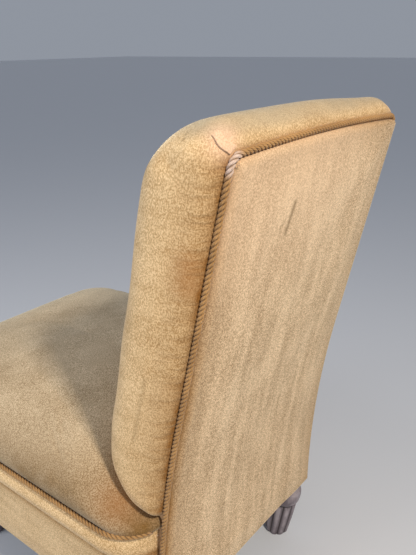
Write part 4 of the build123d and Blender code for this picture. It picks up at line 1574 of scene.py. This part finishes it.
@dataclass(frozen=True)
class Studio:
    """Pale floor, soft lights and the camera at the photo's angle."""

    eye: Triple = (0.5817, 0.6187, 0.8339)
    yaw: float = math.radians(128.11)
    pitch: float = math.radians(21.44)
    roll: float = math.radians(-0.76)
    focal: float = 599.7
    image_height: float = 555.0
    sensor: float = 36.0
    floor: Colour = srgb(222, 223, 226)
    floor_reach: float = 30.0
    sky: Colour = srgb(206, 214, 228)
    sky_strength: float = 0.45
    lamps: tuple[Lamp, ...] = (
        Lamp("key", (0.52, 1.36, 1.72), (0, 0.1, 0.5), 0.17, 27.0, srgb(255, 246, 232)),
        Lamp("fill", (1.8, -0.8, 1.2), (0, 0, 0.45), 1.6, 23.0, srgb(244, 248, 255)),
    )

    def build(self) -> None:
        """Set the floor, the lights and the camera."""
        self._floor()
        for lamp in self.lamps:
            lamp.build()
        world = bpy.data.worlds.new("studio")
        world.use_nodes = True
        back = world.node_tree.nodes["Background"]
        back.inputs["Color"].default_value = (*self.sky, 1.0)
        back.inputs["Strength"].default_value = self.sky_strength
        bpy.context.scene.world = world
        bpy.context.scene.view_settings.view_transform = "Standard"
        self._camera()

    def _floor(self) -> None:
        """A wide level floor."""
        reach = np.linspace(-self.floor_reach, self.floor_reach, 3)
        x, y = np.meshgrid(reach, reach, indexing="ij")
        points = np.stack([x, y, 0 * x], -1)
        floor = make_piece("floor", [Patch(points, points[..., :2])])
        graph = Graph("pale_floor")
        roughness = 0.6 + 0.1 * graph.noise(graph.place(), 2.0, 2.0)
        finish = graph.finish(None, 0, Base_Color=self.floor, Roughness=roughness, Specular_IOR_Level=0.2)
        dress(floor, finish)

    def _camera(self) -> None:
        """Camera whose axes come from its yaw, pitch and roll."""
        level = np.array([-math.sin(self.yaw), math.cos(self.yaw), 0.0])
        up = np.array([0.0, 0.0, 1.0])
        ahead = level * math.cos(self.pitch) - up * math.sin(self.pitch)
        right = np.cross(level, up)
        above = np.cross(right, ahead)
        turned = right * math.cos(self.roll) + above * math.sin(self.roll)
        above = above * math.cos(self.roll) - right * math.sin(self.roll)
        data = bpy.data.cameras.new("camera")
        data.sensor_width = self.sensor
        data.lens = self.focal / self.image_height * data.sensor_width
        camera = bpy.data.objects.new("camera", data)
        axes = Matrix(np.stack([turned, above, -ahead], -1).tolist()).to_4x4()
        camera.matrix_world = Matrix.Translation(self.eye) @ axes
        bpy.context.scene.collection.objects.link(camera)
        bpy.context.scene.camera = camera


# The chair

ROLL_SHAPE = ((0, -0.9), (0.06, -0.2), (0.2, 0.5), (0.5, 1), (0.8, 0.75), (0.95, 0.2), (1, -0.35))
BORDER_SHAPE = ((0, -0.12), (0.02, 0.02), (0.3, 0.5), (0.68, 0.85), (0.9, 1), (0.97, 0.93), (1, 0.72))
REAR_LEAN = math.radians(9)
FRAYED_ABOVE = 0.733
FRAYED_BEYOND = 0.167
FRAY_EVERY = 6
SEAT_FRAY = (0.198, 0.236, 0.300)
FINISHES = (
    BORDER_VELOUR,
    BACK_VELOUR,
    SEAT_VELOUR,
    TwistedYarn(),
    LEG_WOOD,
    FRAME_BEECH,
    JUTE,
    HESSIAN,
    DUST_CLOTH,
    SPRING_STEEL,
    SCREW_STEEL,
    TACK_STEEL,
)
FRAME_FINISHES: dict[str, tuple[str, ...]] = {
    "frame_beech": (
        *(f"{side}_seat_rail" for side in ("front", "left", "right", "rear")),
        *(f"{side}_back_post" for side in ("left", "right")),
        *("back_top_rail", "back_stay_rail", "frame_dowels"),
        *(f"{end}_{side}_corner_block" for end in ("front", "rear") for side in ("left", "right")),
    ),
    "jute_webbing": ("seat_webbing", "back_webbing"),
    "hessian": ("seat_hessian", "back_hessian", "outside_back_lining"),
    "spring_steel": ("seat_springs",),
    "screw_steel": ("corner_block_screws",),
}


def chair_cords(line: OutsideBack, plan: SeatPlan) -> tuple[TrimCord, TrimCord]:
    """The back's cord, frayed at its left corner, and the seat's cord, frayed at its left end.

    Args:
        line: Line of the outside back.
        plan: Plan of the seat.

    Returns:
        Both cords.
    """
    edge = line.cord_line(CORD_POINTS)
    bend = edge[(edge[:, 2] > FRAYED_ABOVE) & (edge[:, 0] > FRAYED_BEYOND)][::FRAY_EVERY]
    return (
        TrimCord("back_trim_cord", "back_cord", edge, (0, 1, 0), bare=tuple(map(tuple, bend))),
        TrimCord("seat_trim_cord", "seat_cord", plan.cord_line(CORD_POINTS), (0, 0, 1), bare=(SEAT_FRAY,)),
    )


def main() -> None:
    """Build the studio and every piece of the chair, in order."""
    logging.basicConfig(level=logging.INFO, format="%(name)s %(message)s")
    Studio().build()
    finishes = {finish.name: finish.material() for finish in FINISHES}
    for finish_name, nodes in FRAME_FINISHES.items():
        for node in nodes:
            dress(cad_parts[node], finishes[finish_name])

    line, plan = OutsideBack(), SeatPlan()
    cushion = BackCushion(line).add(finishes["border_velour"])
    roll = SeatBorder(
        plan,
        "seat_roll",
        "seat_edge_roll",
        fill=0.8,
        foot_half=plan.half,
        low=plan.rail_z,
        high=plan.cord_z,
        swell=8.5 * MM,
        rows=30,
        shape=ROLL_SHAPE,
    )
    border = SeatBorder(
        plan,
        "rail_padding",
        "rail_border",
        fill=0.6,
        foot_half=205 * MM,
        low=127 * MM,
        high=plan.rail_z,
        swell=20 * MM,
        rows=40,
        shape=BORDER_SHAPE,
    )
    legs = (
        ReededLeg("front_left_leg", 0.146, -0.236, 0.0),
        ReededLeg("front_right_leg", -0.146, -0.236, 0.0),
        ReededLeg("rear_left_leg", 0.171, 0.2005, REAR_LEAN),
        ReededLeg("rear_right_leg", -0.171, 0.2005, REAR_LEAN),
    )
    groups: tuple[tuple[str, tuple[Maker, ...]], ...] = (
        ("border_velour", (CornerTuck(cushion, 1), CornerTuck(cushion, -1))),
        ("back_velour", (BackPanel(line),)),
        ("seat_velour", (SeatCushion(plan),)),
        ("border_velour", (roll, border)),
        ("twisted_yarn", chair_cords(line, plan)),
        ("leg_wood", legs),
        ("dust_cloth", (DustCloth(legs),)),
        ("tack_steel", (TackHeads(),)),
    )
    for finish_name, makers in groups:
        for maker in makers:
            maker.add(finishes[finish_name])


if __name__ == "__main__":
    main()
